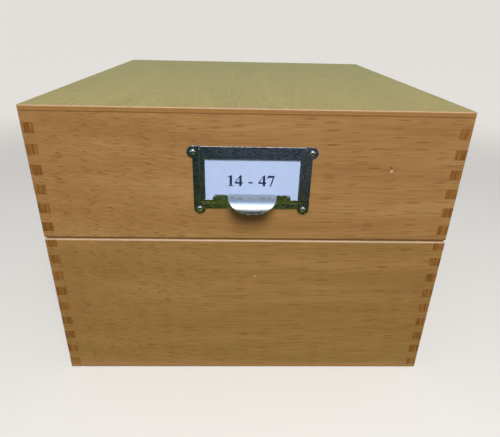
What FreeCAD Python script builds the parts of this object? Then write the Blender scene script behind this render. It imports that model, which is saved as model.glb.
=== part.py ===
# Finger-jointed beech index card box with a hinged lid.
#
# The box is jointed as one tall carcass and sawn into a case and a lid, so the box fingers run on
# from one to the other.  A stamped label holder, whose tab curls out into a finger pull, is nailed
# to the lid.  Two stop hinges at the rear let the lid turn up past the vertical.  Inside, a sheet
# steel plate slides on a channel rail and holds the cards upright.
#
# Millimetres.  Origin at the centre of the underside, +Z up, the front faces -Y, +X to the right.
import FreeCAD, Part
import math
import os
from FreeCAD import Vector

# --- Carcass -------------------------------------------------------------------------------
OUTER_WIDTH = 232.0
OUTER_DEPTH = 250.0
BOARD_THICKNESS = 6.6
CASE_FRAME_HEIGHT = 95.2
LID_FRAME_HEIGHT = 71.6
BASE_PANEL_THICKNESS = 2.4
LID_PANEL_THICKNESS = 3.2
FINGER_HEIGHT = 5.6
SHORTEST_FINGER = 1.5
SPLIT_GAP = 0.1
SPLIT_EASING = 1.6
CORNER_EASING = 0.5
PANEL_EASING = 0.8
PILOT_CLEARANCE = 0.02

# --- Label holder with its pull ------------------------------------------------------------
HOLDER_WIDTH = 63.7
HOLDER_HEIGHT = 35.5
HOLDER_OFFSET = 1.9
HOLDER_ABOVE_SPLIT = 19.8
HOLDER_SHEET = 0.6
HOLDER_FLANGE = 3.6
EAR_RADIUS = 3.3
TOP_EAR_INSET = 0.4
POCKET_DEPTH = 0.8
POCKET_CORNER = 1.0
POCKET_STEP_EASING = 0.45
WINDOW_WIDTH = 50.6
WINDOW_HEIGHT = 22.6
WINDOW_ABOVE_BOTTOM = 5.8
TAB_WIDTH = 42.6
TAB_RISE = 2.9
TAB_CORNER = 2.2
PULL_WIDTH = 26.2
PULL_CORNER = 7.0
PULL_NOTCH_WIDTH = 0.45
PULL_NOTCH_DEPTH = 0.85
PULL_BEND = 0.4
PULL_FLAT = 2.2
PULL_CURL_RADIUS = 8.1
PULL_CURL_ANGLE = 83.0
CARD_THICKNESS = 0.3
CARD_HEIGHT = 30.4
CARD_SIDE_CLEARANCE = 0.4
CARD_LIFT = 34.0

# --- Nails, screws and rivets --------------------------------------------------------------
NAIL_RADIUS = 0.6
NAIL_LENGTH = 5.4
NAIL_HEAD_RADIUS = 1.55
NAIL_HEAD_HEIGHT = 0.9
SCREW_RADIUS = 1.0
SCREW_LENGTH = 5.4
SCREW_HEAD_RADIUS = 2.1
SCREW_HEAD_HEIGHT = 1.0
RIVET_RADIUS = 1.5
RIVET_HEAD_RADIUS = 2.6
RIVET_HEAD_HEIGHT = 0.6
FASTENER_CLEARANCE = 0.05
SHANK_SIDES = 6
HEAD_SIDES = 12
HEAD_RIM_SHARE = 0.3
HEAD_CROWN_SHARE = 0.55

# --- Stop hinges ---------------------------------------------------------------------------
HINGE_INSET = 46.0
HINGE_LENGTH = 32.0
HINGE_LEAF_HEIGHT = 14.0
HINGE_LEAF_CORNER = 2.0
HINGE_SHEET = 1.0
HINGE_PIN_RADIUS = 1.1
HINGE_PIN_CLEARANCE = 0.05
HINGE_PIN_OVERHANG = 0.6
HINGE_MIDDLE_KNUCKLE = 12.0
HINGE_SIDE_GAP = 0.2
HINGE_SWEEP_GAP = 0.4
HINGE_SCREW_SPACING = 20.0
HINGE_SCREW_EDGE = 4.4
LID_OPENING_ANGLE = 100.0
STOP_LENGTH = 6.0
STOP_CLEARANCE = 0.05

# --- Card support plate and its rail ---------------------------------------------------------
RAIL_WIDTH = 20.0
RAIL_HEIGHT = 7.0
RAIL_SHEET = 1.0
RAIL_SLOT = 9.0
RAIL_END_GAP = 0.3
RAIL_RIVET_END = 14.0
RAIL_RIVET_COUNT = 4
SHOE_LENGTH = 30.0
SHOE_SIDE_CLEARANCE = 0.3
SHOE_TOP_CLEARANCE = 0.3
SHOE_HEIGHT = 3.2
PLATE_GLIDE_GAP = 0.1
PLATE_SHEET = 1.0
PLATE_WIDTH = 206.0
PLATE_HEIGHT = 132.0
PLATE_LEAN = 6.0
PLATE_CORNER = 14.0
PLATE_BEND_RADIUS = 1.5
PLATE_HEM = 7.0
PLATE_FOOT_WIDTH = 60.0
PLATE_FOOT_LENGTH = 42.0
PLATE_FOOT_CORNER = 6.0
PLATE_RIVET_SPACING = 18.0
PLATE_REST = 36.0
PLATE_END_GAP = 1.0

# --- Levels and planes that the pieces share ---------------------------------------------------
FRONT = -OUTER_DEPTH / 2
BACK = OUTER_DEPTH / 2
INNER_FRONT = FRONT + BOARD_THICKNESS
INNER_BACK = BACK - BOARD_THICKNESS
CASE_BOTTOM = BASE_PANEL_THICKNESS
CASE_TOP = CASE_BOTTOM + CASE_FRAME_HEIGHT
LID_BOTTOM = CASE_TOP + SPLIT_GAP
LID_TOP = LID_BOTTOM + LID_FRAME_HEIGHT
HINGE_KNUCKLE_RADIUS = HINGE_PIN_RADIUS + HINGE_PIN_CLEARANCE + HINGE_SHEET
HINGE_AXIS_Y = BACK + HINGE_KNUCKLE_RADIUS
HINGE_AXIS_Z = CASE_TOP + SPLIT_GAP / 2
HOLDER_LEFT = HOLDER_OFFSET - HOLDER_WIDTH / 2
HOLDER_RIGHT = HOLDER_OFFSET + HOLDER_WIDTH / 2
HOLDER_BOTTOM = LID_BOTTOM + HOLDER_ABOVE_SPLIT
HOLDER_TOP = HOLDER_BOTTOM + HOLDER_HEIGHT
HOLDER_FACE = POCKET_DEPTH + HOLDER_SHEET
WINDOW_BOTTOM = HOLDER_BOTTOM + WINDOW_ABOVE_BOTTOM
WINDOW_TOP = WINDOW_BOTTOM + WINDOW_HEIGHT
TAB_TOP = WINDOW_BOTTOM + TAB_RISE
RAIL_BOTTOM = BASE_PANEL_THICKNESS
RAIL_TOP = RAIL_BOTTOM + RAIL_HEIGHT
FOOT_BOTTOM = RAIL_TOP + PLATE_GLIDE_GAP
FOOT_TOP = FOOT_BOTTOM + PLATE_SHEET


# --- Small helpers -------------------------------------------------------------------------
def block(low_x, high_x, low_y, high_y, low_z, high_z):
    """Box between two corners."""
    size = Vector(high_x - low_x, high_y - low_y, high_z - low_z)
    return Part.makeBox(size.x, size.y, size.z, Vector(low_x, low_y, low_z))


def rod(radius, start, direction, length):
    """Cylinder from a point along a direction."""
    return Part.makeCylinder(radius, length, start, direction)


def joined(first, *others):
    """Union of solids, with the seams between coplanar faces removed."""
    return first.fuse(list(others)).removeSplitter()


def is_along(edge, direction):
    """True for a straight edge that runs along a direction."""
    if edge.Curve.TypeId != "Part::GeomLine":
        return False
    return abs(abs(edge.tangentAt(edge.FirstParameter).dot(direction)) - 1) < 1e-6


def level_edges(shape, level):
    """Straight edges that lie wholly at one height."""
    return [edge for edge in shape.Edges
            if abs(edge.BoundBox.ZMin - level) < 1e-6 and abs(edge.BoundBox.ZMax - level) < 1e-6]


def ring(radius, centre, direction, sides):
    """Regular polygon across a direction, its corners on a circle of the radius."""
    across = Vector(1, 0, 0) if abs(direction.x) < 0.5 else Vector(0, 0, 1)
    other = direction.cross(across)
    corners = []
    for index in range(sides + 1):
        angle = 2 * math.pi * index / sides
        corners.append(centre + across * (radius * math.cos(angle)) + other * (radius * math.sin(angle)))
    return Part.makePolygon(corners)


def peg(radius, start, direction, length):
    """Few-sided rod: the body of a small fastener, or the hole that one fills."""
    return Part.Face(ring(radius, start, direction, SHANK_SIDES)).extrude(direction * length)


def fastener(seat, outward, shank_radius, shank_length, head_radius, head_height):
    """Low-headed fastener: the shank goes inward from the seat, the crowned head stands outward."""
    rim = seat + outward * (head_height * HEAD_RIM_SHARE)
    crown = seat + outward * head_height
    levels = [
        ring(head_radius, seat, outward, HEAD_SIDES),
        ring(head_radius, rim, outward, HEAD_SIDES),
        ring(head_radius * HEAD_CROWN_SHARE, crown, outward, HEAD_SIDES),
    ]
    head = Part.makeLoft(levels, True, True)
    return joined(head, peg(shank_radius, seat, outward * -1, shank_length))


# --- Finger-jointed frames -------------------------------------------------------------------
def eased_block(bottom, top, rim_level, rim_easing):
    """Block over the box's whole plan, upright corners eased, and the rim at one level rounded."""
    plain = block(-OUTER_WIDTH / 2, OUTER_WIDTH / 2, FRONT, BACK, bottom, top)
    upright = [edge for edge in plain.Edges if is_along(edge, Vector(0, 0, 1))]
    rim = level_edges(plain, rim_level)
    across = [edge for edge in rim if is_along(edge, Vector(1, 0, 0))]
    along = [edge for edge in rim if is_along(edge, Vector(0, 1, 0))]
    eased = plain.makeChamfer(CORNER_EASING, upright)
    return eased.common(plain.makeFillet(rim_easing, across)).common(plain.makeFillet(rim_easing, along))


def frame_shell(bottom, top, split_level):
    """Four-sided frame in one piece, its outer rim at the split rounded."""
    outer = eased_block(bottom, top, split_level, SPLIT_EASING)
    inner_half = OUTER_WIDTH / 2 - BOARD_THICKNESS
    return outer.cut(block(-inner_half, inner_half, INNER_FRONT, INNER_BACK, bottom, top))


def side_finger_levels(bottom, top, first_top):
    """Bottom and top of each finger of the side boards, counted down from the first one's top."""
    levels = []
    finger_top = first_top
    while finger_top - bottom > SHORTEST_FINGER:
        levels.append((max(finger_top - FINGER_HEIGHT, bottom), min(finger_top, top)))
        finger_top -= 2 * FINGER_HEIGHT
    return levels


def corner_posts(levels):
    """Blocks at the four corners that the side boards' fingers fill."""
    posts = []
    for low, high in levels:
        for side in (-1, 1):
            for end in (-1, 1):
                outer_x = side * OUTER_WIDTH / 2
                outer_y = end * OUTER_DEPTH / 2
                inner_x = outer_x - side * BOARD_THICKNESS
                inner_y = outer_y - end * BOARD_THICKNESS
                posts.append(block(min(outer_x, inner_x), max(outer_x, inner_x),
                                   min(outer_y, inner_y), max(outer_y, inner_y), low, high))
    return posts


def jointed_boards(prefix, bottom, top, split_level, first_finger_top):
    """Front, back, left and right board of one frame, their fingers cut to fit each other."""
    shell = frame_shell(bottom, top, split_level)
    posts = Part.makeCompound(corner_posts(side_finger_levels(bottom, top, first_finger_top)))
    half_width = OUTER_WIDTH / 2
    front_zone = block(-half_width, half_width, FRONT, INNER_FRONT, bottom, top)
    back_zone = block(-half_width, half_width, INNER_BACK, BACK, bottom, top)
    front = shell.common(front_zone).cut(posts)
    back = shell.common(back_zone).cut(posts)
    sides = shell.cut(front).cut(back)
    left_zone = block(-half_width, 0, FRONT, BACK, bottom, top)
    right_zone = block(0, half_width, FRONT, BACK, bottom, top)
    return {
        prefix + "_front": front,
        prefix + "_back": back,
        prefix + "_left": sides.common(left_zone),
        prefix + "_right": sides.common(right_zone),
    }


def flat_panel(bottom, thickness, eased_level):
    """Thin panel over the whole plan, in line with the frame, one rim eased."""
    return eased_block(bottom, bottom + thickness, eased_level, min(PANEL_EASING, thickness / 3))


# --- Label holder ----------------------------------------------------------------------------
def front_block(left, right, near, far, low, high):
    """Block on the front face, from `near` to `far` millimetres proud of the wood."""
    return block(left, right, FRONT - far, FRONT - near, low, high)


def ear_centres():
    """Centres of the four ears: the top pair stands out sideways, the bottom pair downwards."""
    top_level = HOLDER_TOP - EAR_RADIUS
    return [
        Vector(HOLDER_LEFT + TOP_EAR_INSET, FRONT, top_level),
        Vector(HOLDER_RIGHT - TOP_EAR_INSET, FRONT, top_level),
        Vector(HOLDER_LEFT + EAR_RADIUS, FRONT, HOLDER_BOTTOM),
        Vector(HOLDER_RIGHT - EAR_RADIUS, FRONT, HOLDER_BOTTOM),
    ]


def holder_flange():
    """Flat sheet against the wood, with its four ears."""
    sheet = front_block(HOLDER_LEFT, HOLDER_RIGHT, 0, HOLDER_SHEET, HOLDER_BOTTOM, HOLDER_TOP)
    ears = [rod(EAR_RADIUS, centre, Vector(0, -1, 0), HOLDER_SHEET) for centre in ear_centres()]
    return joined(sheet, *ears)


def holder_pocket():
    """Raised middle, open at the top, with the rounded step down to the flange."""
    left = HOLDER_LEFT + HOLDER_FLANGE
    right = HOLDER_RIGHT - HOLDER_FLANGE
    bottom = HOLDER_BOTTOM + HOLDER_FLANGE
    raised = front_block(left, right, 0, HOLDER_FACE, bottom, HOLDER_TOP)
    lower = [edge for edge in level_edges(raised, bottom) if is_along(edge, Vector(0, 1, 0))]
    raised = raised.makeFillet(POCKET_CORNER, lower)
    face = FRONT - HOLDER_FACE
    step = [edge for edge in raised.Edges
            if abs(edge.BoundBox.YMax - face) < 1e-6 and edge.BoundBox.ZMin < HOLDER_TOP - 1e-6]
    return raised.makeFillet(min(POCKET_STEP_EASING, POCKET_DEPTH * 0.7), step)


def pocket_cavity():
    """Room for the card between the raised middle and the wood."""
    left = HOLDER_LEFT + HOLDER_FLANGE + HOLDER_SHEET
    right = HOLDER_RIGHT - HOLDER_FLANGE - HOLDER_SHEET
    bottom = HOLDER_BOTTOM + HOLDER_FLANGE + HOLDER_SHEET
    return front_block(left, right, 0, POCKET_DEPTH, bottom, HOLDER_TOP)


def window_opening():
    """Window through the raised middle, less the tab that rises from its lower edge."""
    half = WINDOW_WIDTH / 2
    window = front_block(HOLDER_OFFSET - half, HOLDER_OFFSET + half, 0, 2 * HOLDER_FACE,
                         WINDOW_BOTTOM, WINDOW_TOP)
    tab = front_block(HOLDER_OFFSET - TAB_WIDTH / 2, HOLDER_OFFSET + TAB_WIDTH / 2,
                      0, 2 * HOLDER_FACE, WINDOW_BOTTOM - TAB_RISE, TAB_TOP)
    shoulders = [edge for edge in tab.Edges
                 if is_along(edge, Vector(0, 1, 0)) and edge.BoundBox.ZMin > WINDOW_BOTTOM]
    return window.cut(tab.makeFillet(min(TAB_CORNER, TAB_RISE * 0.9), shoulders))


def pull_notches():
    """Slits in the tab's upper edge, one each side of the pull, that let it bend cleanly."""
    half = PULL_WIDTH / 2
    notches = []
    for side in (-1, 1):
        inner = HOLDER_OFFSET + side * half
        outer = inner + side * PULL_NOTCH_WIDTH
        notches.append(front_block(min(inner, outer), max(inner, outer), 0, 2 * HOLDER_FACE,
                                   TAB_TOP - PULL_NOTCH_DEPTH, TAB_TOP))
    return notches


def pull_profile():
    """Section of the pull: up out of the tab, bent forward, then curled down in a long arc."""
    def point(proud, level):
        return Vector(0, FRONT - proud, level)

    def arc(centre_proud, centre_level, radius, start, end):
        middle = (start + end) / 2
        points = []
        for angle in (start, middle, end):
            radians = math.radians(angle)
            points.append(point(centre_proud + radius * math.cos(radians),
                                centre_level + radius * math.sin(radians)))
        return Part.Arc(*points).toShape(), points[0], points[-1]

    bend_proud = HOLDER_FACE + PULL_BEND
    bend_level = TAB_TOP - HOLDER_SHEET
    curl_proud = bend_proud + PULL_FLAT
    top_level = bend_level + PULL_BEND + HOLDER_SHEET
    curl_level = top_level - PULL_CURL_RADIUS
    tip = 90.0 - PULL_CURL_ANGLE
    outer_bend, outer_start, outer_top = arc(bend_proud, bend_level, PULL_BEND + HOLDER_SHEET, 180, 90)
    outer_curl, outer_flat, outer_tip = arc(curl_proud, curl_level, PULL_CURL_RADIUS, 90, tip)
    inner_curl, inner_flat, inner_tip = arc(curl_proud, curl_level, PULL_CURL_RADIUS - HOLDER_SHEET, 90, tip)
    inner_bend, inner_start, inner_top = arc(bend_proud, bend_level, PULL_BEND, 180, 90)
    root_outer = point(POCKET_DEPTH, WINDOW_BOTTOM)
    root_inner = point(HOLDER_FACE, WINDOW_BOTTOM)
    lines = [
        (root_outer, outer_start),
        (outer_top, outer_flat),
        (outer_tip, inner_tip),
        (inner_flat, inner_top),
        (inner_start, root_inner),
        (root_inner, root_outer),
    ]
    edges = [Part.LineSegment(start, end).toShape() for start, end in lines]
    edges += [outer_bend, outer_curl, inner_curl, inner_bend]
    return Part.Face(Part.Wire(Part.__sortEdges__(edges)))


def pull_reach():
    """How far the pull's tip stands proud of the wood."""
    curl = PULL_CURL_RADIUS * math.sin(math.radians(PULL_CURL_ANGLE))
    return HOLDER_FACE + PULL_BEND + PULL_FLAT + curl


def holder_pull():
    """Tongue of the pull, D-shaped in plan."""
    left = HOLDER_OFFSET - PULL_WIDTH / 2
    right = HOLDER_OFFSET + PULL_WIDTH / 2
    band = pull_profile().extrude(Vector(PULL_WIDTH, 0, 0))
    band.translate(Vector(left, 0, 0))
    plan = front_block(left, right, 0, pull_reach(), HOLDER_BOTTOM, HOLDER_TOP)
    tips = [edge for edge in plan.Edges
            if is_along(edge, Vector(0, 0, 1)) and edge.BoundBox.YMax < FRONT - HOLDER_FACE]
    plan = plan.makeFillet(min(PULL_CORNER, PULL_WIDTH / 2 - 1), tips)
    return band.common(plan).removeSplitter()


def label_holder():
    """Whole stamped sheet: flange, pocket, window and pull, with a nail hole in each ear."""
    sheet = joined(holder_flange(), holder_pocket())
    sheet = sheet.cut(pocket_cavity())
    sheet = sheet.cut([window_opening()] + pull_notches())
    sheet = joined(sheet, holder_pull())
    hole_radius = NAIL_RADIUS + FASTENER_CLEARANCE
    holes = [peg(hole_radius, centre, Vector(0, -1, 0), HOLDER_SHEET) for centre in ear_centres()]
    return sheet.cut(holes)


def label_nails():
    """Four round-head nails through the ears."""
    nails = []
    for centre in ear_centres():
        seat = centre + Vector(0, -HOLDER_SHEET, 0)
        nails.append(fastener(seat, Vector(0, -1, 0), NAIL_RADIUS, NAIL_LENGTH + HOLDER_SHEET,
                               NAIL_HEAD_RADIUS, NAIL_HEAD_HEIGHT))
    return Part.makeCompound(nails)


def nail_pilots():
    """Holes that the nails make in the lid's front board."""
    radius = NAIL_RADIUS + PILOT_CLEARANCE
    return [peg(radius, centre, Vector(0, 1, 0), NAIL_LENGTH + PILOT_CLEARANCE)
            for centre in ear_centres()]


def label_card():
    """Paper card that stands on the pocket's lower step."""
    margin = HOLDER_FLANGE + HOLDER_SHEET + CARD_SIDE_CLEARANCE
    bottom = HOLDER_BOTTOM + HOLDER_FLANGE + HOLDER_SHEET
    near = (POCKET_DEPTH - CARD_THICKNESS) / 2
    return front_block(HOLDER_LEFT + margin, HOLDER_RIGHT - margin, near, near + CARD_THICKNESS,
                       bottom, bottom + CARD_HEIGHT)


# --- Stop hinges -----------------------------------------------------------------------------
def hinge_centres():
    """X of the left and the right hinge."""
    offset = OUTER_WIDTH / 2 - HINGE_INSET
    return {"left": -offset, "right": offset}


def hinge_axis_point(x):
    """Point on the pin's axis."""
    return Vector(x, HINGE_AXIS_Y, HINGE_AXIS_Z)


def hinge_screw_seats(centre_x, upward):
    """Where the screw axes of one leaf meet the wood."""
    level = HINGE_AXIS_Z + upward * (HINGE_LEAF_HEIGHT - HINGE_SCREW_EDGE)
    return [Vector(centre_x + side * HINGE_SCREW_SPACING / 2, BACK, level) for side in (-1, 1)]


def leaf_plate(centre_x, upward):
    """Flat of a leaf on the back face, its two far corners clipped."""
    half = HINGE_LENGTH / 2
    far = HINGE_AXIS_Z + upward * HINGE_LEAF_HEIGHT
    plate = block(centre_x - half, centre_x + half, BACK, BACK + HINGE_SHEET,
                  min(HINGE_AXIS_Z, far), max(HINGE_AXIS_Z, far))
    corners = [edge for edge in plate.Edges
               if is_along(edge, Vector(0, 1, 0)) and abs(edge.BoundBox.ZMin - far) < 1e-6]
    return plate.makeChamfer(min(HINGE_LEAF_CORNER, HINGE_LENGTH / 4), corners)


def barrel(start_x, end_x, radius):
    """Cylinder on the pin's axis between two X positions."""
    return rod(radius, hinge_axis_point(start_x), Vector(1, 0, 0), end_x - start_x)


def knuckle_spans(centre_x, middle):
    """X spans of the middle knuckle, or of the two outer ones."""
    half = HINGE_LENGTH / 2
    inner = HINGE_MIDDLE_KNUCKLE / 2
    if middle:
        return [(centre_x - inner, centre_x + inner)]
    clear = inner + HINGE_SIDE_GAP
    return [(centre_x - half, centre_x - clear), (centre_x + clear, centre_x + half)]


def hinge_leaf(centre_x, upward, middle):
    """Leaf with rolled knuckles, cleared where the other leaf's knuckles turn, bored and drilled."""
    leaf = leaf_plate(centre_x, upward)
    sweep = HINGE_KNUCKLE_RADIUS + HINGE_SWEEP_GAP
    for start, end in knuckle_spans(centre_x, not middle):
        leaf = leaf.cut(block(start - HINGE_SIDE_GAP, end + HINGE_SIDE_GAP, BACK, BACK + 2 * sweep,
                              HINGE_AXIS_Z - sweep, HINGE_AXIS_Z + sweep))
    knuckles = [barrel(start, end, HINGE_KNUCKLE_RADIUS) for start, end in knuckle_spans(centre_x, middle)]
    leaf = joined(leaf, *knuckles)
    half = HINGE_LENGTH / 2
    bore = HINGE_PIN_RADIUS + HINGE_PIN_CLEARANCE
    leaf = leaf.cut(barrel(centre_x - half, centre_x + half, bore))
    hole = SCREW_RADIUS + FASTENER_CLEARANCE
    holes = [peg(hole, seat, Vector(0, 1, 0), HINGE_SHEET)
             for seat in hinge_screw_seats(centre_x, upward)]
    return leaf.cut(holes)


def stop_tail(centre_x):
    """Tail on the lid leaf's knuckle that lies on the case leaf when the lid is fully open."""
    half = HINGE_MIDDLE_KNUCKLE / 2
    contact = BACK + HINGE_SHEET + STOP_CLEARANCE
    tail = block(centre_x - half, centre_x + half, contact, contact + HINGE_SHEET,
                 HINGE_AXIS_Z - STOP_LENGTH, HINGE_AXIS_Z)
    tail = tail.cut(barrel(centre_x - half, centre_x + half, HINGE_PIN_RADIUS + HINGE_SHEET / 2))
    tail.rotate(hinge_axis_point(0), Vector(1, 0, 0), LID_OPENING_ANGLE)
    return tail


def hinge_pin(centre_x):
    """Pin, a little longer than the barrel, its ends chamfered."""
    half = HINGE_LENGTH / 2 + HINGE_PIN_OVERHANG
    pin = barrel(centre_x - half, centre_x + half, HINGE_PIN_RADIUS)
    ends = [edge for edge in pin.Edges if edge.Curve.TypeId == "Part::GeomCircle"]
    return pin.makeChamfer(HINGE_PIN_RADIUS * 0.25, ends)


def hinge_screws(upward):
    """Screws of both hinges into one frame."""
    screws = []
    for centre_x in hinge_centres().values():
        for seat in hinge_screw_seats(centre_x, upward):
            screws.append(fastener(seat + Vector(0, HINGE_SHEET, 0), Vector(0, 1, 0), SCREW_RADIUS,
                                    SCREW_LENGTH + HINGE_SHEET, SCREW_HEAD_RADIUS, SCREW_HEAD_HEIGHT))
    return Part.makeCompound(screws)


def screw_pilots(upward):
    """Holes for the hinge screws in one back board."""
    return [peg(SCREW_RADIUS + PILOT_CLEARANCE, seat, Vector(0, -1, 0), SCREW_LENGTH + PILOT_CLEARANCE)
            for centre_x in hinge_centres().values()
            for seat in hinge_screw_seats(centre_x, upward)]


def hinges():
    """Leaves and pins of both hinges."""
    nodes = {}
    for side, centre_x in hinge_centres().items():
        nodes[side + "_hinge_case_leaf"] = hinge_leaf(centre_x, -1, middle=False)
        lid_leaf = hinge_leaf(centre_x, 1, middle=True)
        nodes[side + "_hinge_lid_leaf"] = joined(lid_leaf, stop_tail(centre_x))
        nodes[side + "_hinge_pin"] = hinge_pin(centre_x)
    return nodes


# --- Rail and card support plate ---------------------------------------------------------------
def rail_rivet_places():
    """Y of the rivets that hold the rail down."""
    start = INNER_FRONT + RAIL_END_GAP + RAIL_RIVET_END
    end = INNER_BACK - RAIL_END_GAP - RAIL_RIVET_END
    step = (end - start) / (RAIL_RIVET_COUNT - 1)
    return [start + index * step for index in range(RAIL_RIVET_COUNT)]


def follower_rail():
    """Channel with inturned lips, drilled for its rivets."""
    half = RAIL_WIDTH / 2
    start = INNER_FRONT + RAIL_END_GAP
    end = INNER_BACK - RAIL_END_GAP
    rail = block(-half, half, start, end, RAIL_BOTTOM, RAIL_TOP)
    hollow = block(-half + RAIL_SHEET, half - RAIL_SHEET, start, end,
                   RAIL_BOTTOM + RAIL_SHEET, RAIL_TOP - RAIL_SHEET)
    slot = block(-RAIL_SLOT / 2, RAIL_SLOT / 2, start, end, RAIL_TOP - RAIL_SHEET, RAIL_TOP)
    rail = rail.cut([hollow, slot])
    holes = [peg(RIVET_RADIUS + FASTENER_CLEARANCE, Vector(0, y, RAIL_BOTTOM), Vector(0, 0, 1), RAIL_SHEET)
             for y in rail_rivet_places()]
    return rail.cut(holes)


def rail_rivets():
    """Rivets through the rail's floor and the base panel, flush underneath."""
    floor = RAIL_BOTTOM + RAIL_SHEET
    rivets = [fastener(Vector(0, y, floor), Vector(0, 0, 1), RIVET_RADIUS, floor,
                        RIVET_HEAD_RADIUS, RIVET_HEAD_HEIGHT)
              for y in rail_rivet_places()]
    return Part.makeCompound(rivets)


def rivet_holes():
    """Holes for the rail's rivets in the base panel."""
    return [peg(RIVET_RADIUS + PILOT_CLEARANCE, Vector(0, y, 0), Vector(0, 0, 1), BASE_PANEL_THICKNESS)
            for y in rail_rivet_places()]


def plate_rivet_places():
    """Centres of the rivets between the plate's foot and its shoe."""
    centre_y = PLATE_REST + PLATE_SHEET + PLATE_BEND_RADIUS + (PLATE_FOOT_LENGTH - PLATE_BEND_RADIUS) / 2
    return [centre_y + side * PLATE_RIVET_SPACING / 2 for side in (-1, 1)]


def follower_plate():
    """Bent sheet: a leaning plate with a hemmed top edge and a foot behind it."""
    lean = math.radians(PLATE_LEAN)
    half = PLATE_WIDTH / 2
    upright = block(-half, half, 0, PLATE_SHEET, 0, PLATE_HEIGHT)
    upper = [edge for edge in upright.Edges
             if is_along(edge, Vector(0, 1, 0)) and edge.BoundBox.ZMin > PLATE_HEIGHT / 2]
    upright = upright.makeFillet(PLATE_CORNER, upper)
    hem = block(-half + PLATE_CORNER, half - PLATE_CORNER, PLATE_SHEET, 2 * PLATE_SHEET,
                PLATE_HEIGHT - PLATE_HEM, PLATE_HEIGHT)
    upright = joined(upright, hem)
    upright.rotate(Vector(0, 0, 0), Vector(1, 0, 0), -PLATE_LEAN)
    upright.translate(Vector(0, PLATE_REST, FOOT_BOTTOM))
    heel_rise = 2 * PLATE_SHEET
    upright = upright.cut(block(-PLATE_WIDTH, PLATE_WIDTH, PLATE_REST - PLATE_WIDTH, PLATE_REST + PLATE_WIDTH,
                                FOOT_BOTTOM - heel_rise, FOOT_BOTTOM))
    foot = Part.makeBox(PLATE_FOOT_WIDTH, PLATE_FOOT_LENGTH, PLATE_SHEET,
                        Vector(-PLATE_FOOT_WIDTH / 2, PLATE_REST + PLATE_SHEET / 2, FOOT_BOTTOM))
    corners = [edge for edge in foot.Edges
               if is_along(edge, Vector(0, 0, 1)) and edge.BoundBox.YMin > PLATE_REST + PLATE_SHEET]
    foot = foot.makeFillet(PLATE_FOOT_CORNER, corners)
    fillet_back = PLATE_REST + PLATE_SHEET / math.cos(lean)
    bend = bend_gusset(fillet_back)
    plate = joined(upright, foot, bend)
    holes = [peg(RIVET_RADIUS + FASTENER_CLEARANCE, Vector(0, y, FOOT_BOTTOM), Vector(0, 0, 1), PLATE_SHEET)
             for y in plate_rivet_places()]
    return plate.cut(holes)


def bend_gusset(back):
    """Inner radius of the bend between plate and foot."""
    radius = PLATE_BEND_RADIUS
    corner = block(-PLATE_FOOT_WIDTH / 2, PLATE_FOOT_WIDTH / 2, back, back + radius,
                   FOOT_TOP, FOOT_TOP + radius)
    hollow = rod(radius, Vector(-PLATE_FOOT_WIDTH / 2, back + radius, FOOT_TOP + radius),
                 Vector(1, 0, 0), PLATE_FOOT_WIDTH)
    return corner.cut(hollow)


def follower_shoe():
    """Tee-shaped shoe: its neck passes the rail's slot and its wings run under the lips."""
    wing_half = RAIL_WIDTH / 2 - RAIL_SHEET - SHOE_SIDE_CLEARANCE
    neck_half = RAIL_SLOT / 2 - SHOE_SIDE_CLEARANCE
    wing_top = RAIL_TOP - RAIL_SHEET - SHOE_TOP_CLEARANCE
    centre_y = sum(plate_rivet_places()) / 2
    start = centre_y - SHOE_LENGTH / 2
    end = centre_y + SHOE_LENGTH / 2
    wings = block(-wing_half, wing_half, start, end, wing_top - SHOE_HEIGHT, wing_top)
    neck = block(-neck_half, neck_half, start, end, wing_top, FOOT_BOTTOM)
    holes = [peg(RIVET_RADIUS + PILOT_CLEARANCE, Vector(0, y, FOOT_BOTTOM), Vector(0, 0, -1),
                 FOOT_BOTTOM - wing_top + SHOE_HEIGHT) for y in plate_rivet_places()]
    return joined(wings, neck).cut(holes)


def follower_rivets():
    """Rivets that join the foot to the shoe, flush under the shoe."""
    length = FOOT_TOP - (RAIL_TOP - RAIL_SHEET - SHOE_TOP_CLEARANCE - SHOE_HEIGHT)
    rivets = [fastener(Vector(0, y, FOOT_TOP), Vector(0, 0, 1), RIVET_RADIUS, length,
                        RIVET_HEAD_RADIUS, RIVET_HEAD_HEIGHT)
              for y in plate_rivet_places()]
    return Part.makeCompound(rivets)


# --- Assembly --------------------------------------------------------------------------------
def case_nodes():
    """Lower half: jointed boards, base panel, and the rail on it."""
    nodes = jointed_boards("case", CASE_BOTTOM, CASE_TOP, CASE_TOP, CASE_TOP)
    nodes["case_back"] = nodes["case_back"].cut(screw_pilots(-1))
    nodes["base_panel"] = flat_panel(0, BASE_PANEL_THICKNESS, 0).cut(rivet_holes())
    nodes["case_hinge_screws"] = hinge_screws(-1)
    nodes["follower_rail"] = follower_rail()
    nodes["rail_rivets"] = rail_rivets()
    return nodes


def lid_nodes():
    """Upper half: jointed boards, top panel, and the label holder with its nails."""
    nodes = jointed_boards("lid", LID_BOTTOM, LID_TOP, LID_BOTTOM, LID_TOP - FINGER_HEIGHT)
    nodes["lid_front"] = nodes["lid_front"].cut(nail_pilots())
    nodes["lid_back"] = nodes["lid_back"].cut(screw_pilots(1))
    nodes["lid_panel"] = flat_panel(LID_TOP, LID_PANEL_THICKNESS, LID_TOP + LID_PANEL_THICKNESS)
    nodes["lid_hinge_screws"] = hinge_screws(1)
    nodes["label_holder"] = label_holder()
    nodes["label_nails"] = label_nails()
    nodes["label_card"] = label_card()
    return nodes


def follower_nodes():
    """Card support plate, its shoe and the rivets between them."""
    return {
        "follower_plate": follower_plate(),
        "follower_shoe": follower_shoe(),
        "follower_rivets": follower_rivets(),
    }


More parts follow.
